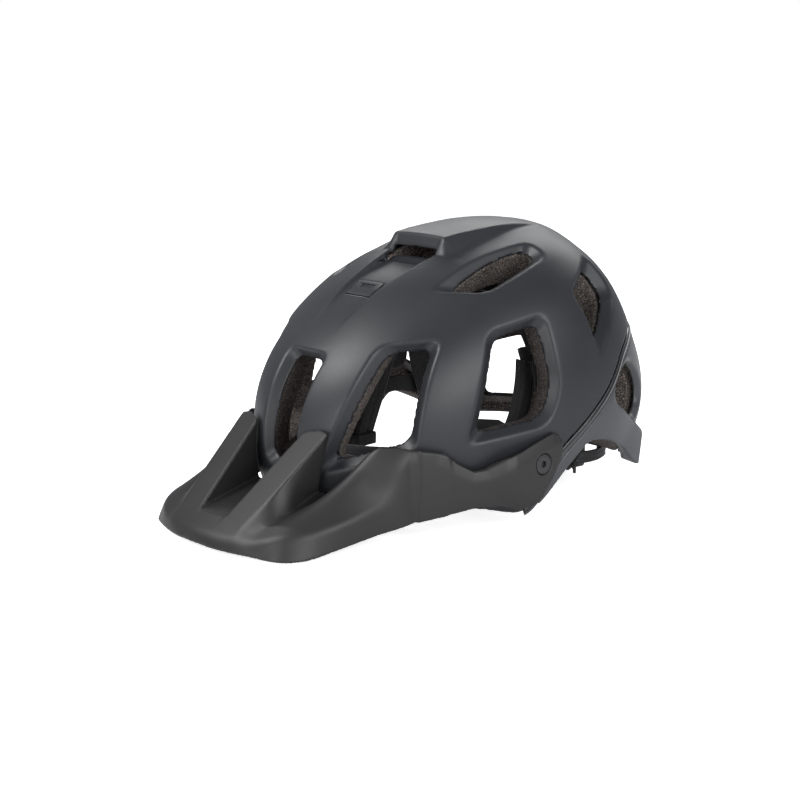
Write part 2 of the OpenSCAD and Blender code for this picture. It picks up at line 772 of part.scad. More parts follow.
module buckle_female() {
    color("#19191b") place() at_buckle() difference() {
        translate([-14, -12, 0]) cube([26, 24, 8]);
        translate([-16, -9, 1.6]) cube([21, 18, 4.8]);
        translate([-8, -13, 2]) cube([8, 26, 4]);
        translate([7, -8, 1.4]) cube([2.4, 16, 8]);
    }
}
module buckle_male() {
    color("#19191b") place() at_buckle() difference() {
        union() {
            translate([-23, -11.5, 0.4]) cube([8.6, 23, 7.2]);
            for (y = [-8.4, 5.8]) translate([-16, y, 2.2]) cube([16, 2.6, 3.6]);
            translate([-16, -1.6, 2.2]) cube([18, 3.2, 3.6]);
        }
        translate([-20.5, -8, -1]) cube([2.4, 16, 12]);
    }
}

// Loop round the left chin strap
module strap_keeper() {
    color("#0e0e10") place() translate([40.7, strap_y, 62.5]) rotate([0, 39, 0])
        translate([-4, -8.9, -2.2]) difference() {
            cube([8, 17.8, 4.4]);
            translate([-1, 0.9, 0.7]) cube([10, 16, 3]);
        }
}

upper_shell();
lower_shell();
seam_band();
foam_liner();
visor();
visor_screw_left();
visor_screw_right();
friction_washers();
visor_nuts();
accessory_socket();
mount_cover();
strap_anchors_front();
strap_anchors_rear();
brow_pad();
side_pad_left();
side_pad_right();
crown_pad_centre();
crown_pad_left();
crown_pad_right();
pad_fasteners();
headband();
headband_anchors();
cradle();
cradle_pads();
height_rail();
dial_housing();
housing_screws();
fit_dial();
dial_pinion();
rack_left();
rack_right();
side_strap_left();
side_strap_right();
divider_left();
divider_right();
divider_lever_left();
divider_lever_right();
chin_strap_left();
chin_strap_right();
buckle_female();
buckle_male();
strap_keeper();
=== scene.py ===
# A helmet with a tilting visor, straps, headband and fit cradle. It faces -Y, its left is +X
# and +Z is up. It is designed in mm about the middle of the head; DROP sets it on the floor.
import json
import math

import bmesh
import bpy
import numpy as np
from mathutils import Matrix, Vector


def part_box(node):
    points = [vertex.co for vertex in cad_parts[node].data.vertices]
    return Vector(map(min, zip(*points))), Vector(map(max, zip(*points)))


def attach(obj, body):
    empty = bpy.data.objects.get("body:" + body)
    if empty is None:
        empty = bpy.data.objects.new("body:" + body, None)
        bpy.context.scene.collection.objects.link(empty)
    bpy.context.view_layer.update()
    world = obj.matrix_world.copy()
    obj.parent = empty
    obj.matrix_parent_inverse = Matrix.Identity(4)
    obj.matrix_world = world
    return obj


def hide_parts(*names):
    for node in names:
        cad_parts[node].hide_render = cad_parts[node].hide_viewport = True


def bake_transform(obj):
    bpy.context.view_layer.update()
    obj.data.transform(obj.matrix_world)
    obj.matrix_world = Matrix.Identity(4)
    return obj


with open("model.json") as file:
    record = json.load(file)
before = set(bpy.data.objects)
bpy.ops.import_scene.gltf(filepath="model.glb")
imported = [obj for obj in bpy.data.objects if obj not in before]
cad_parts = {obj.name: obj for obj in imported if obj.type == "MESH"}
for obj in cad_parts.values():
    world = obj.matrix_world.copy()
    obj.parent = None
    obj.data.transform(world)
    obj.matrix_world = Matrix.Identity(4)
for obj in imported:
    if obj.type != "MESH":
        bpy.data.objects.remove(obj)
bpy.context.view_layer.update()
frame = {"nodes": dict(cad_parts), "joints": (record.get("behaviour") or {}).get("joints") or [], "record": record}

MM = 0.001
JOINTS = {joint["name"]: joint for joint in frame["joints"]}
PIVOT = (0.0, -34.0, -20.0)                 # the visor's tilt axis runs along x through here
DROP = np.array(JOINTS["visor_tilt"]["pos_m"], float) * 1000 - np.array(PIVOT)
CRADLE_Z = float(JOINTS["dial_spin"]["pos_m"][2]) * 1000 - DROP[2]
SIDES = (("left", 1), ("right", -1))
f4 = np.float32

# Smooth body, in a frame tilted about x
HALF_WIDTH, FRONT_LENGTH, REAR_LENGTH, TOP_HEIGHT, SKIRT_DEPTH = 109.0, 150.0, 120.0, 108.0, 79.0
PLAN_POWER, RISE_POWER = 2.04, 2.68         # 2 is an ellipse, more is squarer
TAPER, TAPER_RUN = 0.05, 140                # share by which it widens over this run to the rear
COS_TILT, SIN_TILT = math.cos(math.radians(24.5)), math.sin(math.radians(24.5))

# Head space: half an ellipsoid standing on straight walls
HEAD_X, HEAD_FRONT, HEAD_REAR, HEAD_Z = 80, 119.0, 86.0, 88

SEAM_HALF = 1.3                             # half height of the seam strip, degrees


# ---------------------------------------------------------------- shaping tools
# A field is a distance, negative inside. Radii round the edge where two fields meet.

def keep(a, b, radius):
    """What lies inside both."""
    blend = np.maximum(radius - np.abs(a - b), 0) / radius
    return np.maximum(a, b) + blend * blend * radius * 0.25


def cut(a, tool, radius):
    """a with the tool taken away."""
    return keep(a, -tool, radius)


def join(a, b, radius):
    blend = np.maximum(radius - np.abs(a - b), 0) / radius
    return np.minimum(a, b) - blend * blend * radius * 0.25


def overlap(*parts):
    """What lies inside every part, with sharp edges."""
    return np.maximum.reduce(parts)


def ramp(t):
    """Smooth step from 0 to 1."""
    t = np.clip(t, 0, 1)
    return t * t * (3 - 2 * t)


def blurred(values, sigma, reach, start="reflect", end="reflect"):
    """Gaussian blur; start and end say how the row is carried on past its ends."""
    padded = np.pad(np.pad(values, (reach, 0), start), (0, reach), end)
    weights = np.exp(-0.5 * (np.arange(-reach, reach + 1) / sigma) ** 2)
    return np.convolve(padded, weights / weights.sum(), "valid")


def edge_line(points, sigma):
    """Elevation of an edge by azimuth, in degrees, from (azimuth, elevation) points."""
    azimuths = np.arange(0, 181, 1.0)
    heights = blurred(np.interp(azimuths, *zip(*points)), sigma, 12)
    return lambda azimuth: np.interp(azimuth, azimuths, heights)


def soft_profile(stations, values, sigma=7.0):
    """Blurred table by y. From y = -1 back it holds its last value."""
    grid = np.arange(-225, 0, 1.0)
    soft = blurred(np.interp(grid, stations, values), sigma, 20, "edge", "edge")
    return lambda y: np.interp(y, grid, soft)


def convex_distance(p, q, corners, radius):
    """Rounded distance to a convex outline."""
    edges = list(zip(corners, corners[1:] + corners[:1]))
    turn = math.copysign(1, sum(p0 * q1 - p1 * q0 for (p0, q0), (p1, q1) in edges))
    out = None
    for (p0, q0), (p1, q1) in edges:
        length = math.hypot(p1 - p0, q1 - q0)
        normal_p, normal_q = turn * (q1 - q0) / length, -turn * (p1 - p0) / length
        side = (p - p0) * normal_p + (q - q0) * normal_q
        out = side if out is None else keep(out, side, radius)
    return out


def line_distance(p, q, points):
    """Distance to an open line of points."""
    nearest = np.full(p.shape, 1e9)
    for (p0, q0), (p1, q1) in zip(points[:-1], points[1:]):
        dp, dq = p1 - p0, q1 - q0
        t = np.clip(((p - p0) * dp + (q - q0) * dq) / (dp * dp + dq * dq), 0, 1)
        nearest = np.minimum(nearest, (p - p0 - dp * t) ** 2 + (q - q0 - dq * t) ** 2)
    return np.sqrt(nearest)


def outline_distance(p, q, outline):
    """Distance to a closed outline of any shape, negative inside."""
    closed = outline + outline[:1]
    inside = np.zeros(p.shape, bool)
    for (p0, q0), (p1, q1) in zip(closed[:-1], closed[1:]):
        inside ^= ((q0 > q) != (q1 > q)) & (p < (p1 - p0) * (q - q0) / (q1 - q0 + 1e-12) + p0)
    return np.where(inside, -1, 1) * line_distance(p, q, closed)


# ---------------------------------------------------------------- smooth body and head space

def body_axes(y, z):
    """y and z in the body's tilted frame."""
    return y * COS_TILT + z * SIN_TILT, -y * SIN_TILT + z * COS_TILT


def base(x, y, z):
    """Distance from the smooth body of the helmet, positive outside."""
    yb, zb = body_axes(y, z)
    widen = 1 + TAPER * yb / TAPER_RUN
    length = np.where(yb < 0, FRONT_LENGTH, REAR_LENGTH).astype(x.dtype)
    height = np.where(zb > 0, TOP_HEIGHT, SKIRT_DEPTH).astype(x.dtype)
    X = np.abs(x / widen) / HALF_WIDTH
    Y = np.abs(yb) / length
    Z = np.abs(zb) / height
    XP, YP, ZP = X ** (PLAN_POWER - 1), Y ** (PLAN_POWER - 1), Z ** (RISE_POWER - 1)
    flat = np.maximum(XP * X + YP * Y, 1e-6)
    flat_power = flat ** (RISE_POWER / PLAN_POWER - 1)
    rho = np.maximum(flat_power * flat + ZP * Z, 1e-6) ** (1 / RISE_POWER)
    # the gradient turns the scale rho into a distance
    g = rho ** (1 - RISE_POWER)
    gx = g * flat_power * XP / HALF_WIDTH / widen
    gy = g * flat_power * (YP / length * np.sign(yb) - XP * X * TAPER / TAPER_RUN / widen)
    gz = g * ZP / height
    return (rho - 1) / np.maximum(np.sqrt(gx * gx + gy * gy + gz * gz), 1e-5)


def body_point(azimuth, elevation, inset):
    """Point on the smooth body drawn in by inset; angles in radians in the tilted frame."""
    dx = math.sin(azimuth) * math.cos(elevation)
    dy = -math.cos(azimuth) * math.cos(elevation)
    dz = math.sin(elevation)
    width = HALF_WIDTH - inset
    length = (FRONT_LENGTH if dy < 0 else REAR_LENGTH) - inset
    height = (TOP_HEIGHT if dz > 0 else SKIRT_DEPTH) - inset
    flat = (abs(dx) / width) ** PLAN_POWER + (abs(dy) / length) ** PLAN_POWER
    flat = flat ** (RISE_POWER / PLAN_POWER)
    k = (flat + (abs(dz) / height) ** RISE_POWER) ** (-1 / RISE_POWER)
    x, y, z = dx * k * (1 + TAPER * dy * k / TAPER_RUN), dy * k, dz * k
    return (x, y * COS_TILT - z * SIN_TILT, y * SIN_TILT + z * COS_TILT)


def head(x, y, z):
    """Distance from the head space, positive outside it."""
    length = np.where(y < 0, HEAD_FRONT, HEAD_REAR).astype(x.dtype)
    up = np.maximum(z, 0)
    rho = np.sqrt(np.maximum((x / HEAD_X) ** 2 + (y / length) ** 2 + (up / HEAD_Z) ** 2, 1e-6))
    g = np.sqrt((x / HEAD_X ** 2) ** 2 + (y / length ** 2) ** 2 + (up / HEAD_Z ** 2) ** 2) / rho
    return (rho - 1) / np.maximum(g, 1e-5)


def angles(x, y, z):
    """Azimuth from the front and elevation in degrees, and radius, in the tilted frame."""
    yb, zb = body_axes(y, z)
    xb = x / (1 + TAPER * yb / TAPER_RUN)
    flat = np.hypot(xb, yb)
    azimuth = np.degrees(np.arctan2(np.abs(xb), -yb))
    return azimuth, np.degrees(np.arctan2(zb, flat)), np.hypot(flat, zb)


def below(x, y, z, line, lift=0.0):
    """Positive under the edge line raised by lift degrees."""
    azimuth, elevation, radius = angles(x, y, z)
    return (line(azimuth) + lift - elevation) * radius * (math.pi / 180) * 0.97


# Lower edge of the foam, and the line between the upper and lower shells
foam_low = edge_line([
    (0, 5), (20, 4), (40, -3), (50, -9), (60, -19), (67, -18), (78, -12), (91, -7.5),
    (100, -13), (117, -31), (135, -36), (155, -40), (180, -42)], 2.2)
shell_low = edge_line([
    (0, 5), (20, 4), (40, -3), (50, -9), (60, -18), (66, -16), (78, -5), (93, -1.5),
    (107, 2), (121, 7), (135, 7), (155, 1), (180, -4)], 2.6)


# ---------------------------------------------------------------- vents

VENTS = [
    # azimuth, elevation, lip width, lip depth, widening and sideways spread per mm of depth
    # in the foam, corners of the opening in mm (across, up)
    (0, 5, 5.5, 6.0, 1.0, 0, [(-14, 30), (14, 30), (12, -33), (-12, -33)]),
    (25, 0, 6.5, 7.0, 0.10, 0.07, [(0, 47), (25, 50), (20, -3), (-24, -16)]),
    (68, 5, 6.5, 7.0, 0.10, 0, [(-17, 46), (13, 53), (20, 14), (12, -3), (-32, -9)]),
    (60, 60, 6.5, 7.0, 0.10, 0,
     [(-25, -23), (8, 4), (30, 13), (34, 1), (14, -19), (-5, -29)]),
    (120, 30, 6.5, 7.0, 0.10, 0, [(-33, 24), (1, 37), (3, 17), (-32, -7)]),
    (125, 0, 3.0, 4.0, 0.10, 0,
     [(-33, 10), (-28, 24), (-8, 31), (9, 18), (12, 0), (-6, -8)]),
    (152, 2, 4.0, 5.0, 0.10, 0, [(-22, -22), (-20, 14), (14, 24), (18, -21)]),
    (150, 50, 5.0, 6.0, 0.10, 0, [(-20, -12), (-16, 8), (16, 12), (20, -8)]),
]
VENT_ROUND, VENT_INSET = 7.0, 0.8
VENT_START = 38                             # vents begin this far out along their axes
FAR = 90.0                                  # stands for "outside" nearer the head


def axes_of(azimuth, elevation):
    """Across, up and outward directions of a view onto the helmet."""
    a, e = math.radians(azimuth), math.radians(elevation)
    out = np.array([math.sin(a) * math.cos(e), -math.cos(a) * math.cos(e), math.sin(e)])
    across = np.array([math.cos(a), math.sin(a), 0.0])
    return across, np.cross(out, across), out


def vent_view(x, y, z, azimuth, elevation):
    """Points as seen along a vent's axis, and whether they are far enough out."""
    across, up, out = axes_of(azimuth, elevation)
    p = x * across[0] + y * across[1]
    q = x * up[0] + y * up[1] + z * up[2]
    return p, q, x * out[0] + y * out[1] + z * out[2] > VENT_START


def opening(p, q, near, corners, dtype):
    distance = convex_distance(p, q, corners, VENT_ROUND) + VENT_INSET
    return np.where(near, distance, FAR).astype(dtype)


def flared(hole, skin, width, depth):
    """An opening widened by its lip towards the surface."""
    return (hole - width * np.clip(1 + skin / depth, 0, 1.4)) * 0.74


def vents(x, y, z, skin, lips=1.0):
    """Negative inside any vent: flared at the surface, straight below the lip."""
    out = []
    for azimuth, elevation, width, depth, _, _, corners in VENTS:
        hole = opening(*vent_view(x, y, z, azimuth, elevation), corners, x.dtype)
        out.append(flared(hole, skin, width * lips, depth))
    return np.minimum.reduce(out)


def foam_vents(x, y, z, skin):
    """The vents through the foam, cut back behind the lips and widening towards the head."""
    out = []
    deep = np.clip(-skin - 7, 0, 40)
    for azimuth, elevation, width, depth, widening, spread, corners in VENTS:
        p, q, near = vent_view(x, y, z, azimuth, elevation)
        hole = opening(p, q, near, corners, x.dtype)
        flare = flared(hole, skin, width, depth) - 2.9
        if spread:
            # this vent also opens towards the next one
            p = np.where(p > 0, p / (1 + spread * deep), p)
            hole = opening(p, q, near, corners, x.dtype)
        straight = hole - 1.1 - deep * widening
        out.append(np.minimum(cut(flare, skin + 8.6, 1.0), straight))
    return np.minimum.reduce(out)


# ---------------------------------------------------------------- helmet fields

_, COVER_UP, COVER_OUT = axes_of(0, 58)     # the small cover on the upper front


def cover_box(x, y, z, half_width, half_length, floor):
    """Pocket at the cover, from floor mm out along its axis."""
    q = y * COVER_UP[1] + z * COVER_UP[2] + 28
    out = y * COVER_OUT[1] + z * COVER_OUT[2]
    return overlap(np.abs(x) - half_width, np.abs(q) - half_length, floor - out, out - 140.0)


hollow_depth = soft_profile([-80, -60, -38, -14, -2, 10], [0, 0.3, 1.3, 3.6, 4.3, 3.3], 3.0)


def rise(across, y):
    """Height over the smooth body: sunken channel, its shoulders, the scoop's hood and the
    hollows beside it."""
    hood = np.clip((y + 43.0) / 5.5, 0, 1)  # 0 ahead of the hood, 1 behind its front edge
    channel_half = np.interp(y, [-112, -41], [12.4, 20.5])
    depth = (0.3 * ramp((y + 112) / 24) + 3.2 * ramp((y + 80) / 36)) * (1 - hood)
    lift = 1.5 * ramp((y + 120) / 40) * (1 - hood)
    channel = -(depth + lift) * ramp((channel_half + 1.2 - across) / 2.4)
    shoulder = lift * (1 - ramp((across - channel_half) / 34))
    wall = 9.2 * np.clip((38 - y) / 76, 0, 1)
    hood_half = np.interp(y, [-37, 48], [24.0, 28.0])
    slope = 0.80 * wall
    crest = wall * hood * np.clip((hood_half + slope - across) / (slope + 0.05), 0, 1)
    back = 3.4 * np.exp(-((y - 50) / 27) ** 2) * (1 - ramp((across - 20) / 60))
    hollow = hollow_depth(y) * (1 - ramp((across - 34) / 40))
    return channel + shoulder + crest + back - hollow


def relief(x, y, z, skin):
    """The body with its channel and hood, and the displacement itself."""
    across = np.abs(x)
    d = rise(across, y)
    step = 0.5
    gx = (rise(across + step, y) - d) / step
    gy = (rise(across, y + step) - d) / step
    high = z > 25
    d = np.where(high, d, 0)
    stretch = np.where(high, np.sqrt(1 + gx * gx + gy * gy), 1)
    return ((skin - d) / stretch).astype(skin.dtype), d


def pivot_radius(y, z):
    return np.hypot(y - PIVOT[1], z - PIVOT[2])


def upper_shell_field(x, y, z):
    skin = base(x, y, z)
    across = np.abs(x)
    raised, _ = relief(x, y, z, skin)
    outer = cut(raised, vents(x, y, z, skin), 1.3)
    # thicker where the hood's front folds over
    wall = 2.3 + 2.4 * np.exp(-((y + 37.5) / 3.6) ** 2) * ((across < 34) & (z > 60))
    f = cut(outer, outer + wall, 0.5)
    f = cut(f, skin + 7.2, 0.8)             # the vent lips end at this depth
    f = keep(f, below(x, y, z, shell_low, SEAM_HALF + 0.25), 0.9)
    scoop = overlap(across - 20.6, np.abs(skin + 2.0) - 2.9, -(y + 47), y + 33)
    f = cut(f, scoop, 1.0)
    f = cut(f, cover_box(x, y, z, 11.9, 7.1, 104.0), 0.6)
    return cut(f, np.maximum(pivot_radius(y, z) - 9.8, 100.0 - across), 0.6)


def foam_field(x, y, z):
    skin = base(x, y, z)
    across = np.abs(x)
    _, lifted = relief(x, y, z, skin)
    f = cut(skin + np.maximum(-lifted, 0) + 2.9, foam_vents(x, y, z, skin), 1.2)
    # head space, with two grooves along the crown and one across the brow
    crown = (6.0 * ramp((9.0 - np.abs(across - 24)) / 6.0) * ramp((y + 96) / 14)
             * ramp((66 - y) / 14) * ramp(z / 30))
    brow = 4.0 * ramp((7 - np.abs(z + 2)) / 5.0) * ramp((-y - 30) / 30)
    f = cut(f, head(x, y, z) - crown - brow, 2.5)
    f = keep(f, below(x, y, z, foam_low), 3.0)
    duct = overlap(across - 20.5, np.abs(y + 26) - 20, -(skin + 17), skin - 4)
    f = cut(f, duct, 2.5)
    f = cut(f, cover_box(x, y, z, 9.5, 5.0, 95.6), 0.8)
    # stepped hole at the visor pivot
    radius = pivot_radius(y, z)
    f = cut(f, np.maximum(radius - 9.6, 99.2 - across), 0.6)
    return cut(f, np.maximum(radius - 4.5, 86.0 - across), 0.6)


WING_OUTLINE = [(30, 12), (74, -18), (73, -43), (10, -14)]     # y, z


def wing_field(x, y, z):
    """Flat plate standing out on each side of the lower shell."""
    across = np.abs(x)
    plate = across * 0.9775 + y * 0.194 - z * 0.08 - 108.6
    # its rear half folds in
    rear = across * 0.90 + y * 0.42 - z * 0.12 - 119.6 + 1.4
    edge = convex_distance(y, z, WING_OUTLINE, 3.0)
    return keep(keep(plate, rear, 6.0), edge * 0.8 + 0.3 * (across - 100) * 0.12, 2.0)


def lower_shell_field(x, y, z):
    skin = base(x, y, z)
    drop = 5.0 * ramp((y - 40) / 28)        # the wings reach lower at the rear
    wing = keep(wing_field(x, y, z), below(x, y, z, foam_low, 0.6) - drop, 1.5)
    holes = np.minimum(vents(x, y, z, skin, lips=0.8), 60)
    f = cut(join(skin, wing, 2.0), holes, 1.6)
    f = cut(f, cut(skin, holes, 1.6) + 2.2, 0.4)
    f = cut(f, skin + 5.0, 0.8)
    f = keep(f, below(x, y, z, foam_low, 0.3) - drop * ramp((skin + 1.0) / 5.0), 1.2)
    f = cut(f, below(x, y, z, shell_low, -SEAM_HALF - 0.25), 0.7)
    return keep(f, (66.5 - angles(x, y, z)[0]) * 1.8, 1.0)     # starts at this azimuth


# ---------------------------------------------------------------- visor field

# Bill sections by y: the crease over the side wall, the lower edge, and the wall's lean
CREASE_Y = [-215, -201, -155, -112, -88, -60]
crease_x = soft_profile(CREASE_Y, [58, 63, 76, 81, 88.5, 97])
crease_z = soft_profile(CREASE_Y, [-52, -50.5, -42.5, -31.5, -23.6, -14])
LOW_Y = [-215, -190, -155, -120.5, -88, -60]
low_x = soft_profile(LOW_Y, [70, 72, 76, 79, 84, 90])
low_z = soft_profile(LOW_Y, [-62.5, -62.5, -56.5, -51, -46, -43])
wall_angle = soft_profile([-215, -200, -155, -112, -60], [22, 22, 42, 79, 84])
fin_lean = soft_profile([-205, -192, -180, -165, -150, -130],
                        [2.2, 1.7, 0.5, -0.05, -0.25, -0.25], 3.0)
# height at which the bill's sides end, where they pass into the arms
side_top = soft_profile([-175, -150, -128, -108, -94, -84, -78],
                        [40, 14, 0, -6.2, -9, -16.5, -20], 2.0)

# Arms: radius from the pivot against outer and inner x
ARM_OUT = ([0, 12, 22, 27, 32, 42, 54, 66, 80],
           [111.6, 111.5, 111.0, 109.2, 106.2, 100.8, 94.6, 88.4, 82])
ARM_IN = ([0, 19, 24, 27, 32, 42, 54, 66, 80],
          [108.2, 108.2, 106.6, 104.5, 99.8, 95.0, 89.4, 84.8, 80])
# Upper edge of the arm and its whole outline (y, z)
ARM_RIDGE = [(-94, -8.5), (-84, -16.5), (-78, -20), (-72, -19.3), (-60.6, -13.3), (-40, -6.4),
             (-24.7, -2.0), (-20, -3.2)]
ARM_TOP = [(-96, -8.3)] + ARM_RIDGE
ARM_LINE = [(-108, -49.5), (-108, -6)] + ARM_RIDGE + [
    (-17.6, -8), (-17, -14), (-18.7, -19.4), (-26, -31), (-33.7, -40.5), (-40, -45.6),
    (-48, -47), (-54, -45.5), (-60, -43.4), (-75, -43), (-88, -46)]


def tilt_back(y, z, degrees):
    """Where a point of the visor lies after tilting the visor up."""
    a = math.radians(degrees)
    dy, dz = y - PIVOT[1], z - PIVOT[2]
    return (PIVOT[1] + dy * math.cos(a) + dz * math.sin(a),
            PIVOT[2] - dy * math.sin(a) + dz * math.cos(a))


def bill_fins(across, y, z, apron, front):
    """Fins level with the apron in front, sheer inside, their outer side steepening."""
    inner = np.interp(y, [-199, -148], [14.2, 22.0])
    outer = np.interp(y, [-199, -185, -148], [32.5, 36.5, 43.0])
    over = z - (apron + 0.70 * (y + 198.5))
    lean = fin_lean(y)
    fin = keep(over * 0.735, (across - outer + lean * over) / np.sqrt(1 + lean * lean), 1.0)
    fin = keep(fin, (inner - across) + 0.06 * (z + 20), 1.0)
    fin = keep(fin, front, 2.0)
    return keep(fin, y + 144.0, 1.6)


def bill_hull(x, y, z, skin):
    """Outer form of the visor's bill: top, leaning side walls, skirt, rolled front lip."""
    across = np.abs(x)
    lift = 30 * ramp((across - 41) / 27) * np.exp(-np.clip(skin - 3, -3, 120) / 36)
    front_y = -212.5 + 0.0042 * across * across + 0.030 * np.maximum(0, across - 60) ** 2
    # the apron falls away to the lip as steeply as the fins rise
    apron = -44.7 + 0.22 * (y + 200) - 0.0010 * across * across
    top = (z - (apron - 0.50 * np.maximum(0, front_y + 13.5 - y) + lift)) * 0.95
    cx, cz = crease_x(y), crease_z(y)
    lean = np.radians(wall_angle(y))
    wall = (across - cx) * np.sin(lean) + (z - cz) * np.cos(lean)
    dx, dz = low_x(y) - cx, low_z(y) - cz
    skirt = ((across - cx) * (-dz) + (z - cz) * dx) / np.hypot(dx, dz)
    # walls and skirt pass into the flank of the arms
    run = ramp((y + 138) / 28)
    flank = (across - np.interp(pivot_radius(y, z), *ARM_OUT)) * 0.90
    wall = wall * (1 - run) + flank * run
    skirt = skirt * (1 - run) + flank * run
    front = -(y - front_y) * 0.93 + (z + 57.5) * 0.36
    side = keep(skirt, front, 9.0 * ramp((-y - 160) / 20) + 1.2)
    hull = keep(keep(top, wall, 8.0), side, 2.2)
    return join(hull, bill_fins(across, y, z, apron, front), 1.2)


def visor_field(x, y, z):
    skin = base(x, y, z)
    across = np.abs(x)
    hull = bill_hull(x, y, z, skin)
    f = cut(hull, hull + 2.5, 0.6)
    rim = low_z(y) + np.interp(across, [0, 45, 72], [2.8, 2.2, 0]) * ramp((-y - 150) / 40)
    f = keep(f, rim - z, 1.2)
    # keep clear of the shell at rest and at the tilts it reaches
    clear = 1.4 - skin
    for degrees in (5, 10, 15):
        clear = np.maximum(clear, 1.4 - base(x, *tilt_back(y, z, degrees)))
    gap = 7.0 * ramp((across - 36) / 8) * ramp((64 - across) / 10) * ramp((-22 - z) / 8)
    f = keep(f, clear + gap, 1.0)
    f = keep(f, y + 92, 1.2)
    f = keep(f, np.where(across > 52, z - side_top(y), -20.0), 1.5)
    # arms, chamfered along their upper edge
    radius = pivot_radius(y, z)
    out = across - np.interp(radius, *ARM_OUT)
    arm = keep(out * 0.93, (np.interp(radius, *ARM_IN) - across) * 0.93, 0.6)
    arm = keep(arm, outline_distance(y, z, ARM_LINE) + 0.3, 1.0)
    arm = keep(arm, out * 0.93 + (6.5 - line_distance(y, z, ARM_TOP)) * 0.28, 0.5)
    arm = keep(arm, clear - 0.9, 0.6)
    f = join(f, arm, 2.0)
    # pivot boss, its hole and the counterbore
    boss = keep(radius - 9.2, np.maximum(103.8 - across, across - 110.2), 0.5)
    f = join(f, boss, 0.8)
    f = cut(f, radius - 2.75, 0.3)
    return cut(f, keep(radius - 6.5, 108.6 - across, 0.3), 0.5)


# ---------------------------------------------------------------- meshing

BLOCK = 4                                   # fine cells along a coarse block
CORNERS = [(i, j, k) for i in (0, 1) for j in (0, 1) for k in (0, 1)]


def sample(field, box, step, band, rough):
    """Field values on a grid over x >= 0, worked out only in blocks near the surface."""
    x_high, y_low, y_high, z_low, z_high = box
    spans = [(-step / 2, x_high), (y_low, y_high), (z_low, z_high)]
    nx, ny, nz = [int(math.ceil((high - low) / step)) + 2 for low, high in spans]
    grid = [(low + step * np.arange(n)).astype(f4) for (low, _), n in zip(spans, (nx, ny, nz))]
    values = np.full((nx, ny, nz), 50.0, f4)
    centres = np.meshgrid(*[axis[::BLOCK] for axis in grid], indexing="ij")
    coarse = (rough or field)(*[(c + step * BLOCK / 2).ravel() for c in centres])
    coarse = coarse.reshape(centres[0].shape)

    def to_fine(mask):
        for axis in range(3):
            mask = np.repeat(mask, BLOCK, axis)
        return mask[:nx, :ny, :nz]

    active = to_fine(np.abs(coarse) < (band or step * BLOCK * 1.6 + 2.0))
    grown = np.zeros_like(active)
    grown[1:] |= active[:-1]
    grown[:, 1:] |= active[:, :-1]
    grown[:, :, 1:] |= active[:, :, :-1]
    active |= grown
    if rough is None:
        values[to_fine(coarse < 0)] = -50.0
    i, j, k = np.nonzero(active)
    found = np.empty(len(i), f4)
    for start in range(0, len(i), 600000):
        part = slice(start, start + 600000)
        found[part] = field(grid[0][i[part]], grid[1][j[part]], grid[2][k[part]])
    values[i, j, k] = found
    return grid, values


def net_points(values, cells):
    """Mean of the edge crossings of each cell, in cell units from its low corner."""
    ci, cj, ck = cells
    total = np.zeros((len(ci), 3))
    count = np.zeros(len(ci))
    for corner in CORNERS:
        for axis in range(3):
            if corner[axis] == 1:
                continue
            other = list(corner)
            other[axis] = 1
            a = values[ci + corner[0], cj + corner[1], ck + corner[2]]
            b = values[ci + other[0], cj + other[1], ck + other[2]]
            crossed = (a < 0) != (b < 0)
            point = np.array(corner, float)[None, :].repeat(len(ci), 0)
            point[:, axis] = 0
            point[crossed, axis] = a[crossed] / (a[crossed] - b[crossed])
            total[crossed] += point[crossed]
            count[crossed] += 1
    return total / count[:, None]


def net_quads(negative, ids):
    """One quad round every grid edge that crosses the surface."""
    quads = []
    for axis in range(3):
        low = [slice(1, n - 1) for n in negative.shape]
        high = list(low)
        low[axis] = slice(0, negative.shape[axis] - 1)
        high[axis] = slice(1, negative.shape[axis])
        first = negative[tuple(low)]
        change = first != negative[tuple(high)]
        edges = np.array(np.nonzero(change)).T
        if not len(edges):
            continue
        edges = edges + np.array([0 if d == axis else 1 for d in range(3)])
        u, w = [(1, 2), (2, 0), (0, 1)][axis]
        ring = []
        for du, dw in ((1, 1), (0, 1), (0, 0), (1, 0)):
            cell = edges.copy()
            cell[:, u] -= du
            cell[:, w] -= dw
            ring.append(ids[cell[:, 0], cell[:, 1], cell[:, 2]])
        ring = np.stack(ring, 1)
        flip = ~first[change]
        ring[flip] = ring[flip][:, ::-1]
        quads.append(ring)
    quads = np.concatenate(quads)
    return quads[(quads >= 0).all(1)]


def settle(points, field, step, middle):
    """Moves the points onto the surface; those in the mirror plane stay in it."""
    reach = 0.12
    for _ in range(3):
        value = field(*points.T)
        slope = np.stack([field(*(points + nudge).T) - field(*(points - nudge).T)
                          for nudge in np.eye(3) * reach], 1) / (2 * reach)
        slope[middle, 0] = 0
        steepness = np.maximum((slope * slope).sum(1), 0.15)
        move = -(value / steepness)[:, None] * slope
        length = np.linalg.norm(move, axis=1, keepdims=True)
        points += move * np.minimum(1, 0.45 * step / np.maximum(length, 1e-9)) * 0.9
    points[middle, 0] = 0


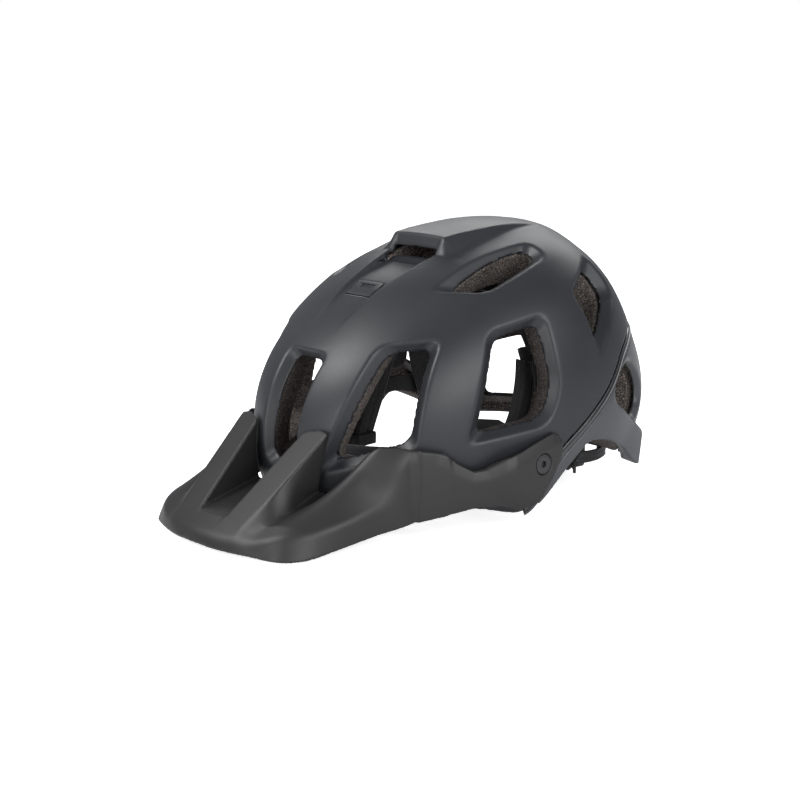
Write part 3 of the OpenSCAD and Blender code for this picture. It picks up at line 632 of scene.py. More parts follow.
def surface_net(field, box, step, band, rough):
    """Quad mesh of the zero surface of field, worked out for x >= 0 and mirrored."""
    grid, values = sample(field, box, step, band, rough)
    negative = values < 0
    nx, ny, nz = values.shape
    inside = np.zeros((nx - 1, ny - 1, nz - 1), np.uint8)
    for i, j, k in CORNERS:
        inside += negative[i:nx - 1 + i, j:ny - 1 + j, k:nz - 1 + k]
    crossed = (inside > 0) & (inside < 8)
    cells = np.nonzero(crossed)
    ids = np.full(crossed.shape, -1, np.int32)
    ids[cells] = np.arange(len(cells[0]))
    offsets = net_points(values, cells)
    points = np.stack([grid[a][cells[a]] + offsets[:, a] * step for a in range(3)], 1)
    points = points.astype(float)
    quads = net_quads(negative, ids)
    middle = cells[0] == 0
    settle(points, field, step, middle)

    count = len(points)
    partner = np.arange(count) + count
    partner[middle] = np.nonzero(middle)[0]
    points = np.concatenate([points, points * np.array([-1, 1, 1])])
    quads = np.concatenate([quads, partner[quads][:, ::-1]])
    used, quads = np.unique(quads.ravel(), return_inverse=True)
    return points[used], quads.reshape(-1, 4)


def shade_smooth(mesh):
    mesh.polygons.foreach_set("use_smooth", np.ones(len(mesh.polygons), bool))


def add_mesh(name, points, faces, uv=None):
    """Makes an object from points in mm and an array of quads or a list of mixed faces."""
    mesh = bpy.data.meshes.new(name)
    placed = (np.asarray(points, float) + DROP) * MM
    if isinstance(faces, np.ndarray):
        mesh.vertices.add(len(placed))
        mesh.vertices.foreach_set("co", placed.astype(f4).ravel())
        mesh.loops.add(faces.size)
        mesh.loops.foreach_set("vertex_index", faces.astype(np.int32).ravel())
        mesh.polygons.add(len(faces))
        starts = np.arange(0, faces.size, faces.shape[1], dtype=np.int32)
        mesh.polygons.foreach_set("loop_start", starts)
        mesh.update(calc_edges=True)
    else:
        mesh.from_pydata([tuple(p) for p in placed], [], faces)
    mesh.validate()
    if uv is not None:
        layer = mesh.uv_layers.new(name="UVMap")
        corner = np.zeros(len(mesh.loops), np.int32)
        mesh.loops.foreach_get("vertex_index", corner)
        layer.data.foreach_set("uv", np.asarray(uv, f4)[corner].ravel())
    obj = bpy.data.objects.new(name, mesh)
    bpy.context.scene.collection.objects.link(obj)
    shade_smooth(mesh)
    mesh.update()
    return obj


def face_outward(obj):
    bm = bmesh.new()
    bm.from_mesh(obj.data)
    bmesh.ops.recalc_face_normals(bm, faces=bm.faces[:])
    bm.to_mesh(obj.data)
    bm.free()


def islands_of(bm):
    """Groups of connected vertices."""
    seen = set()
    islands = []
    for vert in bm.verts:
        if vert.index in seen:
            continue
        stack, island = [vert], []
        seen.add(vert.index)
        while stack:
            current = stack.pop()
            island.append(current)
            for edge in current.link_edges:
                other = edge.other_vert(current)
                if other.index not in seen:
                    seen.add(other.index)
                    stack.append(other)
        islands.append(island)
    return islands


def clean(obj):
    """Drops loose crumbs and splits the faces into triangles."""
    bm = bmesh.new()
    bm.from_mesh(obj.data)
    bm.verts.ensure_lookup_table()
    islands = islands_of(bm)
    biggest = max(len(island) for island in islands)
    for island in islands:
        if len(island) < 0.02 * biggest:
            for vert in island:
                bm.verts.remove(vert)
    bmesh.ops.triangulate(bm, faces=bm.faces[:])
    bm.to_mesh(obj.data)
    bm.free()
    shade_smooth(obj.data)
    obj.data.update()


# ---------------------------------------------------------------- materials

UNIT = (0.0, 1.0)
MIDDLE = (0.3, 0.7)                         # where most of a noise's values lie


class Mat:
    """A material built round its Principled BSDF."""

    def __init__(self, name, color, rough, spec):
        self.material = bpy.data.materials.new(name)
        self.material.use_nodes = True
        self.tree = self.material.node_tree
        self.inputs = self.tree.nodes["Principled BSDF"].inputs
        self.set(**{"Base Color": (*color, 1), "Roughness": rough, "Specular IOR Level": spec})
        self.coords = self.node("ShaderNodeTexCoord").outputs
        self.normal = None

    def set(self, **values):
        for name, value in values.items():
            self.inputs[name].default_value = value

    def node(self, kind, **settings):
        node = self.tree.nodes.new(kind)
        for name, value in settings.items():
            setattr(node, name, value)
        return node

    def link(self, source, target):
        self.tree.links.new(source, target)

    def noise(self, scale, detail=3.0, rough=0.5):
        node = self.node("ShaderNodeTexNoise")
        node.inputs["Scale"].default_value = scale
        node.inputs["Detail"].default_value = detail
        node.inputs["Roughness"].default_value = rough
        self.link(self.coords["Object"], node.inputs["Vector"])
        return node.outputs["Fac"]

    def voronoi(self, scale, feature="F1"):
        node = self.node("ShaderNodeTexVoronoi", feature=feature)
        node.inputs["Scale"].default_value = scale
        self.link(self.coords["Object"], node.inputs["Vector"])
        return node.outputs["Distance"]

    def remap(self, source, before, after):
        node = self.node("ShaderNodeMapRange")
        self.link(source, node.inputs["Value"])
        for name, value in zip(("From Min", "From Max", "To Min", "To Max"), before + after):
            node.inputs[name].default_value = value
        return node.outputs["Result"]

    def mix_color(self, factor, low, high):
        node = self.node("ShaderNodeMix", data_type="RGBA")
        self.link(factor, node.inputs[0])
        node.inputs[6].default_value = (*low, 1)
        node.inputs[7].default_value = (*high, 1)
        self.link(node.outputs[2], self.inputs["Base Color"])

    def bump(self, source, strength, distance):
        """Adds a bump on top of those already made."""
        node = self.node("ShaderNodeBump")
        node.inputs["Strength"].default_value = strength
        node.inputs["Distance"].default_value = distance
        self.link(source, node.inputs["Height"])
        if self.normal is not None:
            self.link(self.normal, node.inputs["Normal"])
        self.normal = node.outputs["Normal"]
        self.link(self.normal, self.inputs["Normal"])

    def math(self, operation, *values):
        node = self.node("ShaderNodeMath", operation=operation)
        for socket, value in zip(node.inputs, values):
            if isinstance(value, (int, float)):
                socket.default_value = value
            else:
                self.link(value, socket)
        return node.outputs[0]


def moulded(name, color, dark, rough, grain, depth, spec, coat=0.0):
    """Moulded plastic: grain is the scale of its texture, depth the texture's height in m."""
    m = Mat(name, color, rough, spec)
    patches = m.noise(16.0)
    fine = m.noise(grain, detail=2.0, rough=0.6)
    m.mix_color(m.remap(patches, MIDDLE, UNIT), dark, color)
    m.link(m.math("ADD", m.remap(patches, MIDDLE, (rough - 0.04, rough + 0.05)),
                  m.remap(fine, MIDDLE, (-0.03, 0.03))), m.inputs["Roughness"])
    m.bump(fine, strength=0.35, distance=depth)
    m.bump(m.noise(220.0, detail=6.0, rough=0.7), strength=0.10, distance=depth)
    if coat:
        m.set(**{"Coat Weight": coat, "Coat Roughness": 0.12})
    return m.material


def foam_beads():
    m = Mat("foam_beads", color=(0.06, 0.05, 0.045), rough=0.85, spec=0.22)
    bead = m.voronoi(560.0)
    border = m.voronoi(560.0, "DISTANCE_TO_EDGE")
    speckle = m.noise(900.0, detail=4.0, rough=0.75)
    patches = m.noise(60.0)
    edge = m.remap(border, (0.0, 0.22), UNIT)
    spot = m.remap(speckle, (0.35, 0.65), UNIT)
    tone = m.math("MULTIPLY", m.math("MULTIPLY", edge, spot),
                  m.remap(patches, MIDDLE, (0.7, 1.0)))
    m.mix_color(tone, low=(0.030, 0.025, 0.022), high=(0.30, 0.258, 0.232))
    m.bump(m.remap(bead, (0.0, 0.9), (1.0, 0.0)), strength=0.7, distance=0.0004)
    m.bump(speckle, strength=0.4, distance=0.0002)
    return m.material


def webbing_weave():
    """Woven strap; its UV runs along in u and across in v, both in mm."""
    rib_pitch, pick_pitch = 1.5, 1.1
    m = Mat("webbing_weave", color=(0.02, 0.02, 0.022), rough=0.72, spec=0.3)
    split = m.node("ShaderNodeSeparateXYZ")
    m.link(m.coords["UV"], split.inputs[0])
    along, across = split.outputs[0], split.outputs[1]
    rib = m.math("SINE", m.math("MULTIPLY", across, 2 * math.pi / rib_pitch))
    pick = m.math("SINE", m.math("ADD", m.math("MULTIPLY", along, 2 * math.pi / pick_pitch),
                                 m.math("MULTIPLY", rib, 1.2)))
    weave = m.math("ADD", m.math("MULTIPLY", rib, 0.6), m.math("MULTIPLY", pick, 0.5))
    fibres = m.noise(3500.0, detail=2.0)
    m.mix_color(m.remap(weave, (-1.0, 1.1), UNIT),
                low=(0.006, 0.006, 0.007), high=(0.036, 0.036, 0.039))
    m.bump(weave, strength=0.8, distance=0.00022)
    m.bump(fibres, strength=0.25, distance=0.00008)
    m.set(**{"Sheen Weight": 0.25})
    return m.material


def pad_knit():
    m = Mat("pad_knit", color=(0.024, 0.024, 0.026), rough=0.9, spec=0.2)
    loops = m.voronoi(850.0)
    patches = m.noise(60.0, detail=4.0)
    fuzz = m.noise(2200.0, detail=3.0, rough=0.7)
    m.mix_color(m.remap(patches, MIDDLE, UNIT),
                low=(0.014, 0.014, 0.016), high=(0.032, 0.032, 0.035))
    m.bump(loops, strength=0.55, distance=0.0004)
    m.bump(fuzz, strength=0.35, distance=0.00015)
    m.bump(patches, strength=0.3, distance=0.0008)
    m.set(**{"Sheen Weight": 0.35, "Sheen Roughness": 0.5})
    return m.material


def metal(name, color, rough):
    m = Mat(name, color, rough, spec=0.5)
    m.set(Metallic=1.0)
    grain = m.noise(900.0, detail=4.0, rough=0.7)
    patches = m.noise(45.0)
    m.mix_color(m.remap(patches, MIDDLE, UNIT), tuple(c * 0.75 for c in color), color)
    m.link(m.remap(grain, (0.25, 0.75), (rough - 0.08, rough + 0.1)), m.inputs["Roughness"])
    m.bump(grain, strength=0.2, distance=0.00005)
    return m.material


MATS = {
    "shell_black": moulded(
        "shell_matt", color=(0.0175, 0.0185, 0.0215), dark=(0.0125, 0.0132, 0.0155),
        rough=0.43, grain=1700, depth=0.00005, spec=0.42),
    "shell_grey": moulded(
        "shell_satin_grey", color=(0.050, 0.051, 0.056), dark=(0.040, 0.041, 0.045),
        rough=0.38, grain=1700, depth=0.00004, spec=0.5),
    "seam_gloss": moulded(
        "seam_edging", color=(0.009, 0.009, 0.010), dark=(0.007, 0.007, 0.008),
        rough=0.16, grain=900, depth=0.00001, spec=0.6, coat=0.4),
    "foam": foam_beads(),
    "visor_grey": moulded(
        "visor_matt", color=(0.0180, 0.0170, 0.0172), dark=(0.0135, 0.0128, 0.0130),
        rough=0.45, grain=1500, depth=0.00006, spec=0.38),
    "hardware_black": moulded(
        "hardware_moulded", color=(0.017, 0.017, 0.018), dark=(0.012, 0.012, 0.013),
        rough=0.34, grain=1200, depth=0.00003, spec=0.5),
    "nut_brass": metal("turned_brass", color=(0.62, 0.46, 0.20), rough=0.32),
    "screw_steel": metal("plated_steel", color=(0.50, 0.50, 0.52), rough=0.30),
    "washer_rubber": moulded(
        "rubber_matt", color=(0.022, 0.022, 0.023), dark=(0.014, 0.014, 0.015),
        rough=0.74, grain=2100, depth=0.0001, spec=0.3),
    "pad_fabric": pad_knit(),
    "webbing": webbing_weave(),
    "nylon": moulded(
        "nylon_moulded", color=(0.024, 0.024, 0.026), dark=(0.017, 0.017, 0.018),
        rough=0.48, grain=1500, depth=0.00006, spec=0.45),
    "rack_nylon": moulded(
        "rack_moulded", color=(0.065, 0.065, 0.070), dark=(0.05, 0.05, 0.054),
        rough=0.45, grain=1500, depth=0.00005, spec=0.45),
    "hook_tape": pad_knit(),
}


def fit_out(obj, slot, nodes, body=None):
    """Gives an object its material, the body it rides and the CAD pieces it replaces."""
    obj.data.materials.clear()
    obj.data.materials.append(MATS[slot])
    for face in obj.data.polygons:
        face.material_index = 0
    if body:
        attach(obj, body)
    if nodes:
        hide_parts(*nodes)


# ---------------------------------------------------------------- shells, foam and visor

HELMET_BOX = (116, -172, 132, -66, 128)     # x high, y low, y high, z low, z high
REAR_BOX = (116, -80, 132, -66, 60)
VISOR_BOX = (114, -216, -10, -66, 12)

PIECES = [
    # name, field, box, cell size (quick, full), slot, body, node, coarse field, band
    ("shell_top", upper_shell_field, HELMET_BOX, (1.7, 1.3), "shell_black", "helmet",
     "upper_shell", base, 18.0),
    ("foam_body", foam_field, HELMET_BOX, (2.4, 1.45), "foam", "helmet",
     "foam_liner", None, None),
    ("shell_rear", lower_shell_field, REAR_BOX, (1.6, 1.05), "shell_grey", "helmet",
     "lower_shell", base, 16.0),
    ("visor_body", visor_field, VISOR_BOX, (1.8, 1.05), "visor_grey", "visor",
     "visor", None, 9.0),
]
for name, field, box, steps, slot, body, node, rough, band in PIECES:
    piece = add_mesh(name, *surface_net(field, box, steps[1], band, rough))
    clean(piece)
    fit_out(piece, slot, [node], body)


# ---------------------------------------------------------------- seam

SEAM_PROFILE = [  # height in half heights of the strip, depth under the smooth body in mm
    (-1.02, 1.4), (-1.02, 0.25), (-0.90, -0.25), (-0.78, -0.3), (-0.70, -0.02), (-0.5, -0.40),
    (0, -0.52), (0.5, -0.40), (0.70, -0.02), (0.78, -0.3), (0.90, -0.25), (1.02, 0.25),
    (1.02, 1.4)]


def seam():
    """Edging between the shells, from side to side round the back."""
    azimuths = np.arange(61.0, 299.01, 1)
    points, faces = [], []
    for azimuth in azimuths:
        middle = float(shell_low(azimuth if azimuth <= 180 else 360 - azimuth))
        for height, depth in SEAM_PROFILE:
            elevation = math.radians(middle + height * SEAM_HALF)
            points.append(body_point(math.radians(azimuth), elevation, depth))
    n = len(SEAM_PROFILE)
    for i in range(len(azimuths) - 1):
        for j in range(n):
            a, b = i * n + j, i * n + (j + 1) % n
            faces.append((a + n, b + n, b, a))
    faces.append(tuple(range(n)))
    faces.append(tuple((len(azimuths) - 1) * n + j for j in reversed(range(n))))
    strip = add_mesh("seam_edging_strip", points, faces)
    face_outward(strip)
    fit_out(strip, "seam_gloss", ["seam_band"], "helmet")


seam()


# ---------------------------------------------------------------- straps and bands

WEBBING_INSET, BAND_INSET = 11.0, 3.8       # inside the wall of the head space
ARCH_Y, ARCH_INSET = 8.0, 10.8              # the chin strap lies in the plane y = ARCH_Y
BUCKLE_Z = 71.0


def unit(x, y, z):
    vector = np.array([x, y, z])
    return vector / np.linalg.norm(vector)


def head_length(y):
    return HEAD_FRONT if y < 0 else HEAD_REAR


def head_point(azimuth, height, inset):
    """Point inside the head space's wall; height is degrees above its rim, mm below it."""
    a = math.radians(azimuth)
    length = (HEAD_FRONT if math.cos(a) > 0 else HEAD_REAR) - inset
    up = math.radians(max(height, 0))
    return np.array([(HEAD_X - inset) * math.sin(a) * math.cos(up),
                     -length * math.cos(a) * math.cos(up),
                     (HEAD_Z - inset) * math.sin(up) + min(height, 0)])


def head_normal(p):
    return unit(p[0] / HEAD_X ** 2, p[1] / head_length(p[1]) ** 2, max(p[2], 0) / HEAD_Z ** 2)


def band_normal(p):
    return unit(p[0] / HEAD_X ** 2, p[1] / head_length(p[1]) ** 2, 0)


def arch_normal(p):
    return unit(p[0] / (HEAD_X - 10) ** 2, 0, p[2] / (HEAD_Z - 10) ** 2)


def belt_normal(p):
    return unit(p[0] / 3000, p[1] / 6000, 0)


def resample(points, step):
    """Evenly spaced, slightly smoothed points and their distances along the path."""
    points = np.array(points, float)
    lengths = np.linalg.norm(np.diff(points, axis=0), axis=1)
    along = np.concatenate([[0], np.cumsum(lengths)])
    even = np.linspace(0, along[-1], max(3, int(along[-1] / step) + 1))
    out = np.stack([np.interp(even, along, points[:, k]) for k in range(3)], 1)
    for _ in range(3):
        out[1:-1] = out[1:-1] * 0.5 + (out[:-2] + out[2:]) / 2 * 0.5
    return out, even


def strip_section(ribs, cells=14):
    """Closed section of a ribbed band, in shares of its width and thickness."""
    top = []
    for i in range(cells + 1):
        a = i / cells
        edge = abs(2 * a - 1) ** 14 * 0.55
        top.append((-0.5 + a, 0.5 * (1 - edge) + 0.10 * math.cos(2 * math.pi * a * ribs)))
    return top + [(u, -v) for u, v in reversed(top)]


def strip(name, points, normal, width, nodes=(), body=None, slot="nylon", thick=1.5, ribs=2,
          mirror=False):
    """A flat band swept along points. normal gives its outward face; width may be a
    function of the share of the length."""
    path, along = resample(points, 1.6 * (1))
    tangents = np.gradient(path, axis=0)
    tangents /= np.linalg.norm(tangents, axis=1, keepdims=True)
    normals = np.array([normal(p) for p in path])
    normals -= (normals * tangents).sum(1, keepdims=True) * tangents
    normals /= np.linalg.norm(normals, axis=1, keepdims=True)
    for _ in range(4):
        normals[1:-1] = normals[1:-1] * 0.5 + (normals[:-2] + normals[2:]) * 0.25
    normals /= np.linalg.norm(normals, axis=1, keepdims=True)
    across = np.cross(tangents, normals)
    section = strip_section(ribs)
    n = len(section)
    verts, uv, faces = [], [], []
    for i, s in enumerate(along):
        w = width(s / along[-1]) if callable(width) else width
        for u, v in section:
            verts.append(path[i] + across[i] * u * w + normals[i] * (v * thick))
            uv.append((s, u * w))
    for i in range(len(path) - 1):
        for j in range(n):
            a, b = i * n + j, i * n + (j + 1) % n
            faces.append((a, b, b + n, a + n))
    # ends closed with quads from the top to the underside
    for start, turn in ((0, 1), ((len(path) - 1) * n, -1)):
        for j in range(n // 2 - 1):
            quad = (start + j, start + j + 1, start + n - 2 - j, start + n - 1 - j)
            faces.append(quad[::turn])
    verts = np.array(verts)
    if mirror:
        verts = verts * np.array([-1, 1, 1])
    obj = add_mesh(name, verts, faces, uv=np.array(uv))
    face_outward(obj)
    fit_out(obj, slot, nodes, body)
    return obj


def webbing(name, points, normal, node, body="helmet", mirror=False):
    return strip(name, points, normal, 15.0, [node], body, "webbing", ribs=3, mirror=mirror)


def side_webbing():
    """Two legs on each side, running up from in front of and behind the ear."""
    legs = [  # name, azimuth and height at the lower end, at the upper end
        ("front", 74, -34, 88, 25), ("rear", 114, -19, 101, 25)]
    n = 12
    for side, sign in SIDES:
        for end, az0, low, az1, high in legs:
            points = [head_point(az0 + (az1 - az0) * i / n, low + (high - low) * i / n,
                                 WEBBING_INSET) for i in range(n + 1)]
            webbing(f"webbing_{end}_{side}", points, head_normal, "side_strap_" + side,
                    mirror=sign < 0)


def arch_point(degrees):
    a = math.radians(degrees)
    return np.array([(HEAD_X - ARCH_INSET) * math.sin(a), ARCH_Y,
                     (HEAD_Z - ARCH_INSET) * math.cos(a)])


def chin_webbing():
    """Chin strap in an arch across the head space, one part each side of the buckle."""
    left = [arch_point(a) for a in range(62, 16, -4)] + [
        (15.5, ARCH_Y, BUCKLE_Z + 1.6), (11, ARCH_Y, BUCKLE_Z + 0.4), (9.5, ARCH_Y, BUCKLE_Z)]
    webbing("webbing_chin_left", left, arch_normal, "chin_strap_left")
    right = [arch_point(-a) for a in range(62, 30, -4)] + [
        (-31, ARCH_Y, 68.7), (-26, ARCH_Y, BUCKLE_Z - 0.6), (-19.5, ARCH_Y, BUCKLE_Z)]
    tail = webbing("webbing_chin_right", right, arch_normal, "chin_strap_right", body=None)
    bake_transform(tail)


# Azimuth from the front against height in mm: low at the brow, high over the ears
BAND_HEIGHTS = ([0, 40, 62, 80, 100, 128], [-22, -24, -24, -5, -2, -14])


def headband():
    grid = np.arange(0, 141, 1.0)
    heights = blurred(np.interp(grid, *BAND_HEIGHTS), 5.0, 15, "reflect", "edge")
    points = [head_point(a, min(float(np.interp(abs(a), grid, heights)), 0), BAND_INSET)
              for a in np.arange(-128, 128.1, 2.0)]
    strip("headband_main", points, band_normal,
          lambda s: 8.0 + 3.0 * abs(math.cos(s * math.pi)) ** 2, ["headband"], "helmet")


def headband_links():
    """Bands from the ends of the headband to the cradle, bowed outwards."""
    a = math.radians(44)
    for side, sign in SIDES:
        start = head_point(127 * sign, -14, BAND_INSET)
        end = np.array([71.2 * math.sin(a) * sign, 78 * math.cos(a), CRADLE_Z + 4])
        bow = np.array([2.5 * sign, 2.5, 0])
        points = [start * (1 - t) + end * t + bow * math.sin(t * math.pi)
                  for t in np.linspace(-0.03, 1.06, 14)]
        link = strip("headband_link_" + side, points, band_normal,
                     lambda s: 9.5 - 1.5 * math.sin(s * math.pi), ["headband"], thick=1.4)
        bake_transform(link)


def fit_belts():
    """Belts from the cradle to the racks; the left one meets its rack near the rack's top
    and the right one near its bottom."""
    for side, sign in SIDES:
        low, high = [np.array(corner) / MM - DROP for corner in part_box("rack_" + side)]
        rack_x = high[0] if sign > 0 else low[0]
        rack_y = (low[1] + high[1]) / 2
        rack_z = high[2] - 3 if sign > 0 else low[2] + 3
        points = [(50 * sign, 55, CRADLE_Z + 5), (54 * sign, 62, CRADLE_Z + 4.5),
                  (56.5 * sign, 70, (CRADLE_Z + 4 + rack_z) / 2), (55 * sign, 78, rack_z),
                  (51 * sign, 83, rack_z), (rack_x - 1.0 * sign, rack_y, rack_z)]
        belt = strip("fit_belt_" + side, points, belt_normal, 8.0)
        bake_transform(belt)


side_webbing()
chin_webbing()
headband()
headband_links()
fit_belts()


# ---------------------------------------------------------------- pads

PADS = []                                   # object, body, node replaced


def rounded(x, y, length, height):
    """Pulls a point of a rectangle into the same rectangle with rounded corners."""
    r = min(length, height) * 0.42
    cx = max(abs(x) - (length / 2 - r), 0)
    cy = max(abs(y) - (height / 2 - r), 0)
    reach = math.hypot(cx, cy)
    k = max(cx, cy) / reach if reach > 1e-6 else 1
    return (math.copysign(min(abs(x), length / 2 - r) + cx * k, x),
            math.copysign(min(abs(y), height / 2 - r) + cy * k, y))


def pad_mesh(name, place, size, depths, body, node, cell=2.6, seams=()):
    """A rounded pad on a curved seat, between two depths. place(u, v, t) gives the point
    u, v mm from its middle and t mm into the head space; seams are quilt lines by u."""
    length, height = size
    back, front = depths
    cell = cell * 1
    nu, nv = max(8, int(length / cell)), max(6, int(height / cell))
    mid = (back + front) / 2 - 0.6          # depth of the rim
    verts, held, faces = [], [], []
    top, under = {}, {}
    for j in range(nv + 1):
        for i in range(nu + 1):
            a, b = 2 * i / nu - 1, 2 * j / nv - 1
            x, y = rounded(a * length / 2, b * height / 2, length, height)
            edge = min((1 - abs(a)) * length / 2, (1 - abs(b)) * height / 2)
            full = math.sqrt(max(0.0, 1 - (1 - min(1.0, edge / 4.5)) ** 2))
            quilt = 1.0
            for seam_x in seams:
                quilt = min(quilt, 0.55 + 0.45 * min(1, abs(x - seam_x) / 3.5))
            top[i, j] = under[i, j] = len(verts)
            verts.append(place(x, y, back + (mid - back) * (1 - full)))
            held.append(1.0)
            if i not in (0, nu) and j not in (0, nv):
                top[i, j] = len(verts)
                verts.append(place(x, y, mid + (front - mid) * full * quilt))
                held.append(0.0 if edge > 3.0 and quilt > 0.8 else 1.0)
    for j in range(nv):
        for i in range(nu):
            faces.append((top[i, j], top[i + 1, j], top[i + 1, j + 1], top[i, j + 1]))
            faces.append((under[i, j], under[i, j + 1], under[i + 1, j + 1], under[i + 1, j]))
    obj = add_mesh(name, verts, faces)
    face_outward(obj)
    obj["pins"] = len(verts)
    group = obj.vertex_groups.new(name="held")
    for i, weight in enumerate(held):
        group.add([i], weight, "REPLACE")
    PADS.append((obj, body, node))


def on_head(azimuth, height, sign=1):
    """A seat on the head space's wall."""
    radius = 92.0 if abs(azimuth) < 60 else 84.0

    def place(u, v, t):
        up = height + (v if height <= 0 else v / HEAD_Z * 57.3)
        return head_point(azimuth + sign * math.degrees(u / radius), up, t)
    return place


def on_crown(x0, y0, sign=1):
    def place(u, v, t):
        x, y = x0 + v, y0 + u
        length = head_length(y) - t
        share = max(0.02, 1 - (y / length) ** 2 - (x / (HEAD_X - t)) ** 2)
        return np.array([x * sign, y, (HEAD_Z - t) * math.sqrt(share)])
    return place


def on_cradle(azimuth, sign):
    """A seat inside the cradle; azimuth is from the rear."""
    def place(u, v, t):
        a = math.radians(azimuth) + u / 72.0
        return np.array([(68.8 - t) * math.sin(a) * sign, (75.8 - t) * math.cos(a),
                         CRADLE_Z + 1 + v])
    return place


PAD_DEPTHS = (1.4, 6.2)
pad_mesh("pad_brow", on_head(0, -21), (146, 18), (5.3, 9.0), "helmet", "brow_pad",
         seams=(-48, -24, 0, 24, 48))
for side, sign in SIDES:
    pad_mesh("pad_side_" + side, on_head(93.5 * sign, 15.5, sign), (22, 35), PAD_DEPTHS,
             "helmet", "side_pad_" + side)
    pad_mesh("pad_crown_" + side, on_crown(43, -3, sign), (74, 16), PAD_DEPTHS,
             "helmet", "crown_pad_" + side, seams=(-12, 12))
    pad_mesh("pad_nape_" + side, on_cradle(25.0, sign), (33, 14), (0.0, 3.8),
             "cradle", "cradle_pads", cell=2.2)
pad_mesh("pad_crown_mid", on_crown(0, -19), (86, 18), PAD_DEPTHS, "helmet",
         "crown_pad_centre", seams=(-22, 0, 22))


def coordinates(mesh):
    flat = np.zeros(len(mesh.vertices) * 3)
    mesh.vertices.foreach_get("co", flat)
    return flat.reshape(-1, 3)


def add_cloth(obj, last_frame):
    cloth = obj.modifiers.new("swell", "CLOTH")
    settings = cloth.settings
    settings.quality = 5
    settings.mass = 0.15
    settings.tension_stiffness = settings.compression_stiffness = 12
    settings.bending_stiffness = 0.3
    settings.vertex_group_mass = "held"
    settings.use_pressure = True
    settings.uniform_pressure_force = 4.0
    settings.effector_weights.gravity = 0
    cloth.collision_settings.use_collision = False
    cloth.point_cache.frame_start, cloth.point_cache.frame_end = 1, last_frame


def puff():
    """Lets the covers swell over their foam for a few frames, backs and quilt lines held."""
    last_frame = 20
    most = 0.0016                           # the furthest a vertex may move, m
    pads = [pad[0] for pad in PADS]
    before = [coordinates(obj.data) for obj in pads]
    for obj in pads:
        add_cloth(obj, last_frame)
    scene = bpy.context.scene
    for number in range(1, last_frame + 1):
        scene.frame_set(number)
        bpy.context.view_layer.update()
    graph = bpy.context.evaluated_depsgraph_get()
    after = []
    for obj in pads:
        evaluated = obj.evaluated_get(graph)
        after.append(coordinates(evaluated.to_mesh()))
        evaluated.to_mesh_clear()
    scene.frame_set(1)
    for obj, old, new in zip(pads, before, after):
        obj.modifiers.clear()
        move = np.nan_to_num(new - old)
        length = np.linalg.norm(move, axis=1, keepdims=True)
        move *= np.minimum(1, most / np.maximum(length, 1e-9))
        obj.data.vertices.foreach_set("co", (old + move).ravel())
        obj.data.update()


puff()
for pad, body, node in PADS:
    soft = pad.modifiers.new("soft", "SUBSURF")
    soft.levels = soft.render_levels = 1
    graph = bpy.context.evaluated_depsgraph_get()
    mesh = bpy.data.meshes.new_from_object(pad.evaluated_get(graph))
    pad.modifiers.clear()
    pad.data = mesh
    shade_smooth(mesh)
    fit_out(pad, "pad_fabric", [node], body)


# ---------------------------------------------------------------- hardware kept from the CAD

BEVELS = {  # edge bevel in mm
    "visor_screw_left": 0.22, "visor_screw_right": 0.22, "friction_washers": 0.22,
    "visor_nuts": 0.22, "accessory_socket": 0.5, "mount_cover": 0.3,
    "strap_anchors_front": 0.8, "strap_anchors_rear": 0.8, "pad_fasteners": 0.22,
    "headband_anchors": 0.5, "cradle": 0.5, "height_rail": 0.4, "dial_housing": 0.6,
    "housing_screws": 0.22, "fit_dial": 0.35, "dial_pinion": 0.22, "rack_left": 0.22,
    "rack_right": 0.22, "divider_left": 0.6, "divider_right": 0.6,
    "divider_lever_left": 0.35, "divider_lever_right": 0.35, "buckle_female": 0.9,
    "buckle_male": 0.6, "strap_keeper": 0.3,
}
SLOTS = {part["node"]: part["material_slot"] for part in frame["record"]["subparts"]}
for node, width in BEVELS.items():
    obj = frame["nodes"][node]
    weld = obj.modifiers.new("weld", "WELD")
    weld.merge_threshold = 0.000005
    bevel = obj.modifiers.new("edge", "BEVEL")
    bevel.width = width * MM
    bevel.segments = 2
    bevel.limit_method = "ANGLE"
    bevel.angle_limit = math.radians(38)
    bevel.use_clamp_overlap = True
    bevel.harden_normals = True
    shade_smooth(obj.data)
    obj.data.materials.clear()
    obj.data.materials.append(MATS[SLOTS[node]])


# ---------------------------------------------------------------- floor, world, lights, camera

scene = bpy.context.scene


def backdrop():
    """Paper floor that looks nearly white to the camera."""
    pale = (0.86, 0.86, 0.865)
    m = Mat("studio_paper", color=pale, rough=0.9, spec=0.1)
    m.mix_color(m.remap(m.noise(3.0, detail=2.0), MIDDLE, UNIT), pale, (0.88, 0.88, 0.885))
    rays = m.node("ShaderNodeLightPath")
    m.set(**{"Emission Color": (0.97, 0.97, 0.97, 1)})
    m.link(m.math("MULTIPLY", rays.outputs["Is Camera Ray"], 0.8),
           m.inputs["Emission Strength"])
    s = 6.0
    mesh = bpy.data.meshes.new("paper_floor")
    mesh.from_pydata([(-s, -s, 0), (s, -s, 0), (s, s, 0), (-s, s, 0)], [], [(0, 1, 2, 3)])
    floor = bpy.data.objects.new("paper_floor", mesh)
    scene.collection.objects.link(floor)
    mesh.materials.append(m.material)


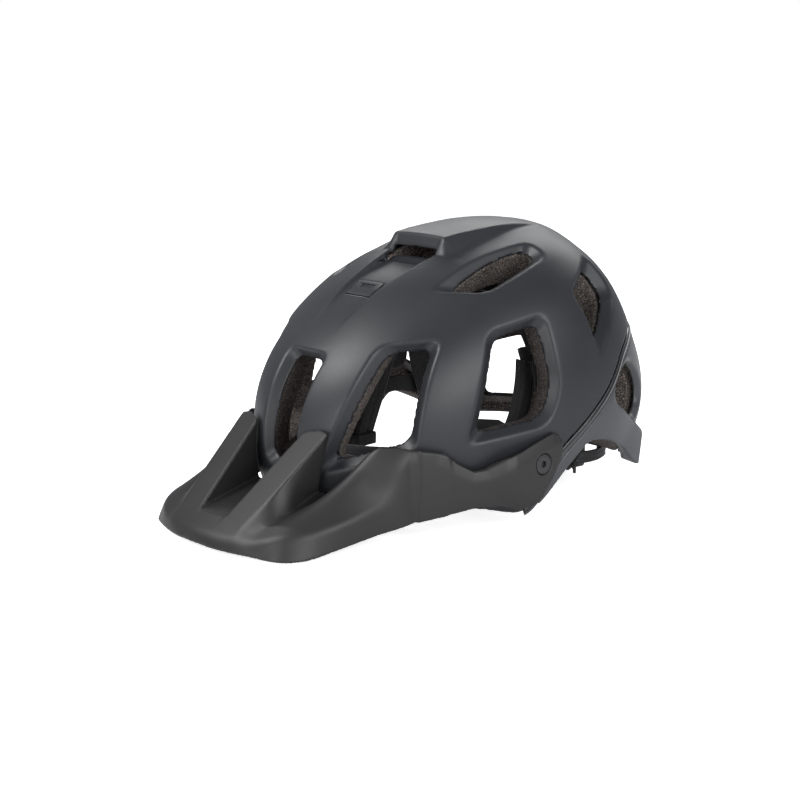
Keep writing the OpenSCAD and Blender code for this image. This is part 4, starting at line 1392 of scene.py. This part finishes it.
def studio_world():
    """Dim cool light on the product, plain white to the camera."""
    world = bpy.data.worlds.new("studio")
    scene.world = world
    world.use_nodes = True
    nodes, links = world.node_tree.nodes, world.node_tree.links
    ambient = nodes["Background"]
    ambient.inputs["Color"].default_value = (0.93, 0.96, 1.0, 1)
    ambient.inputs["Strength"].default_value = 0.34
    seen = nodes.new("ShaderNodeBackground")
    seen.inputs["Color"].default_value = (1.0, 1.0, 1.0, 1)
    seen.inputs["Strength"].default_value = 1.0
    rays = nodes.new("ShaderNodeLightPath")
    mix = nodes.new("ShaderNodeMixShader")
    links.new(rays.outputs["Is Camera Ray"], mix.inputs[0])
    links.new(ambient.outputs[0], mix.inputs[1])
    links.new(seen.outputs[0], mix.inputs[2])
    links.new(mix.outputs[0], nodes["World Output"].inputs["Surface"])


LIGHTS = [
    # name, place in m, width and height in m, power in W, color
    ("key_soft", (-0.55, -0.95, 1.25), (0.9, 0.6), 20, (1, 1, 1)),
    ("side_soft", (1.35, 0.15, 0.75), (0.9, 0.9), 10, (0.97, 0.98, 1.0)),
    ("back_rim", (-0.7, 1.05, 0.9), (1.5, 0.5), 7.5, (1, 1, 1)),
    ("front_fill", (0.4, -1.5, 0.4), (0.5, 0.7), 7.5, (1, 1, 1)),
    ("strip_soft", (1.3, -0.42, 0.55), (0.3, 0.8), 7.0, (1, 1, 1)),
]
LIGHT_AIM = Vector((0, 0, 0.09))


def add_light(name, place, size, power, color):
    light = bpy.data.lights.new(name, "AREA")
    light.shape = "RECTANGLE"
    light.size, light.size_y = size
    light.energy = power
    light.color = color
    obj = bpy.data.objects.new(name, light)
    scene.collection.objects.link(obj)
    obj.location = place
    obj.rotation_mode = "QUATERNION"
    obj.rotation_quaternion = (LIGHT_AIM - Vector(place)).to_track_quat("-Z", "Y")


def add_camera():
    """Looks from the front left, a little above."""
    distance, shift_left, shift_down = 1150.0, 41.0, 2.36      # mm
    camera = bpy.data.cameras.new("view")
    camera.lens = 78.66
    camera.sensor_width = 36.0
    camera.clip_start, camera.clip_end = 0.05, 20
    obj = bpy.data.objects.new("view", camera)
    scene.collection.objects.link(obj)
    right, up, back = axes_of(50.0, 11.5)
    place = back * distance - right * shift_left - up * shift_down + DROP
    obj.location = Vector(place * MM)
    obj.rotation_mode = "QUATERNION"
    obj.rotation_quaternion = Matrix((right, up, back)).transposed().to_quaternion()
    scene.camera = obj


backdrop()
studio_world()
scene.view_settings.view_transform = "Standard"
for light in LIGHTS:
    add_light(*light)
add_camera()
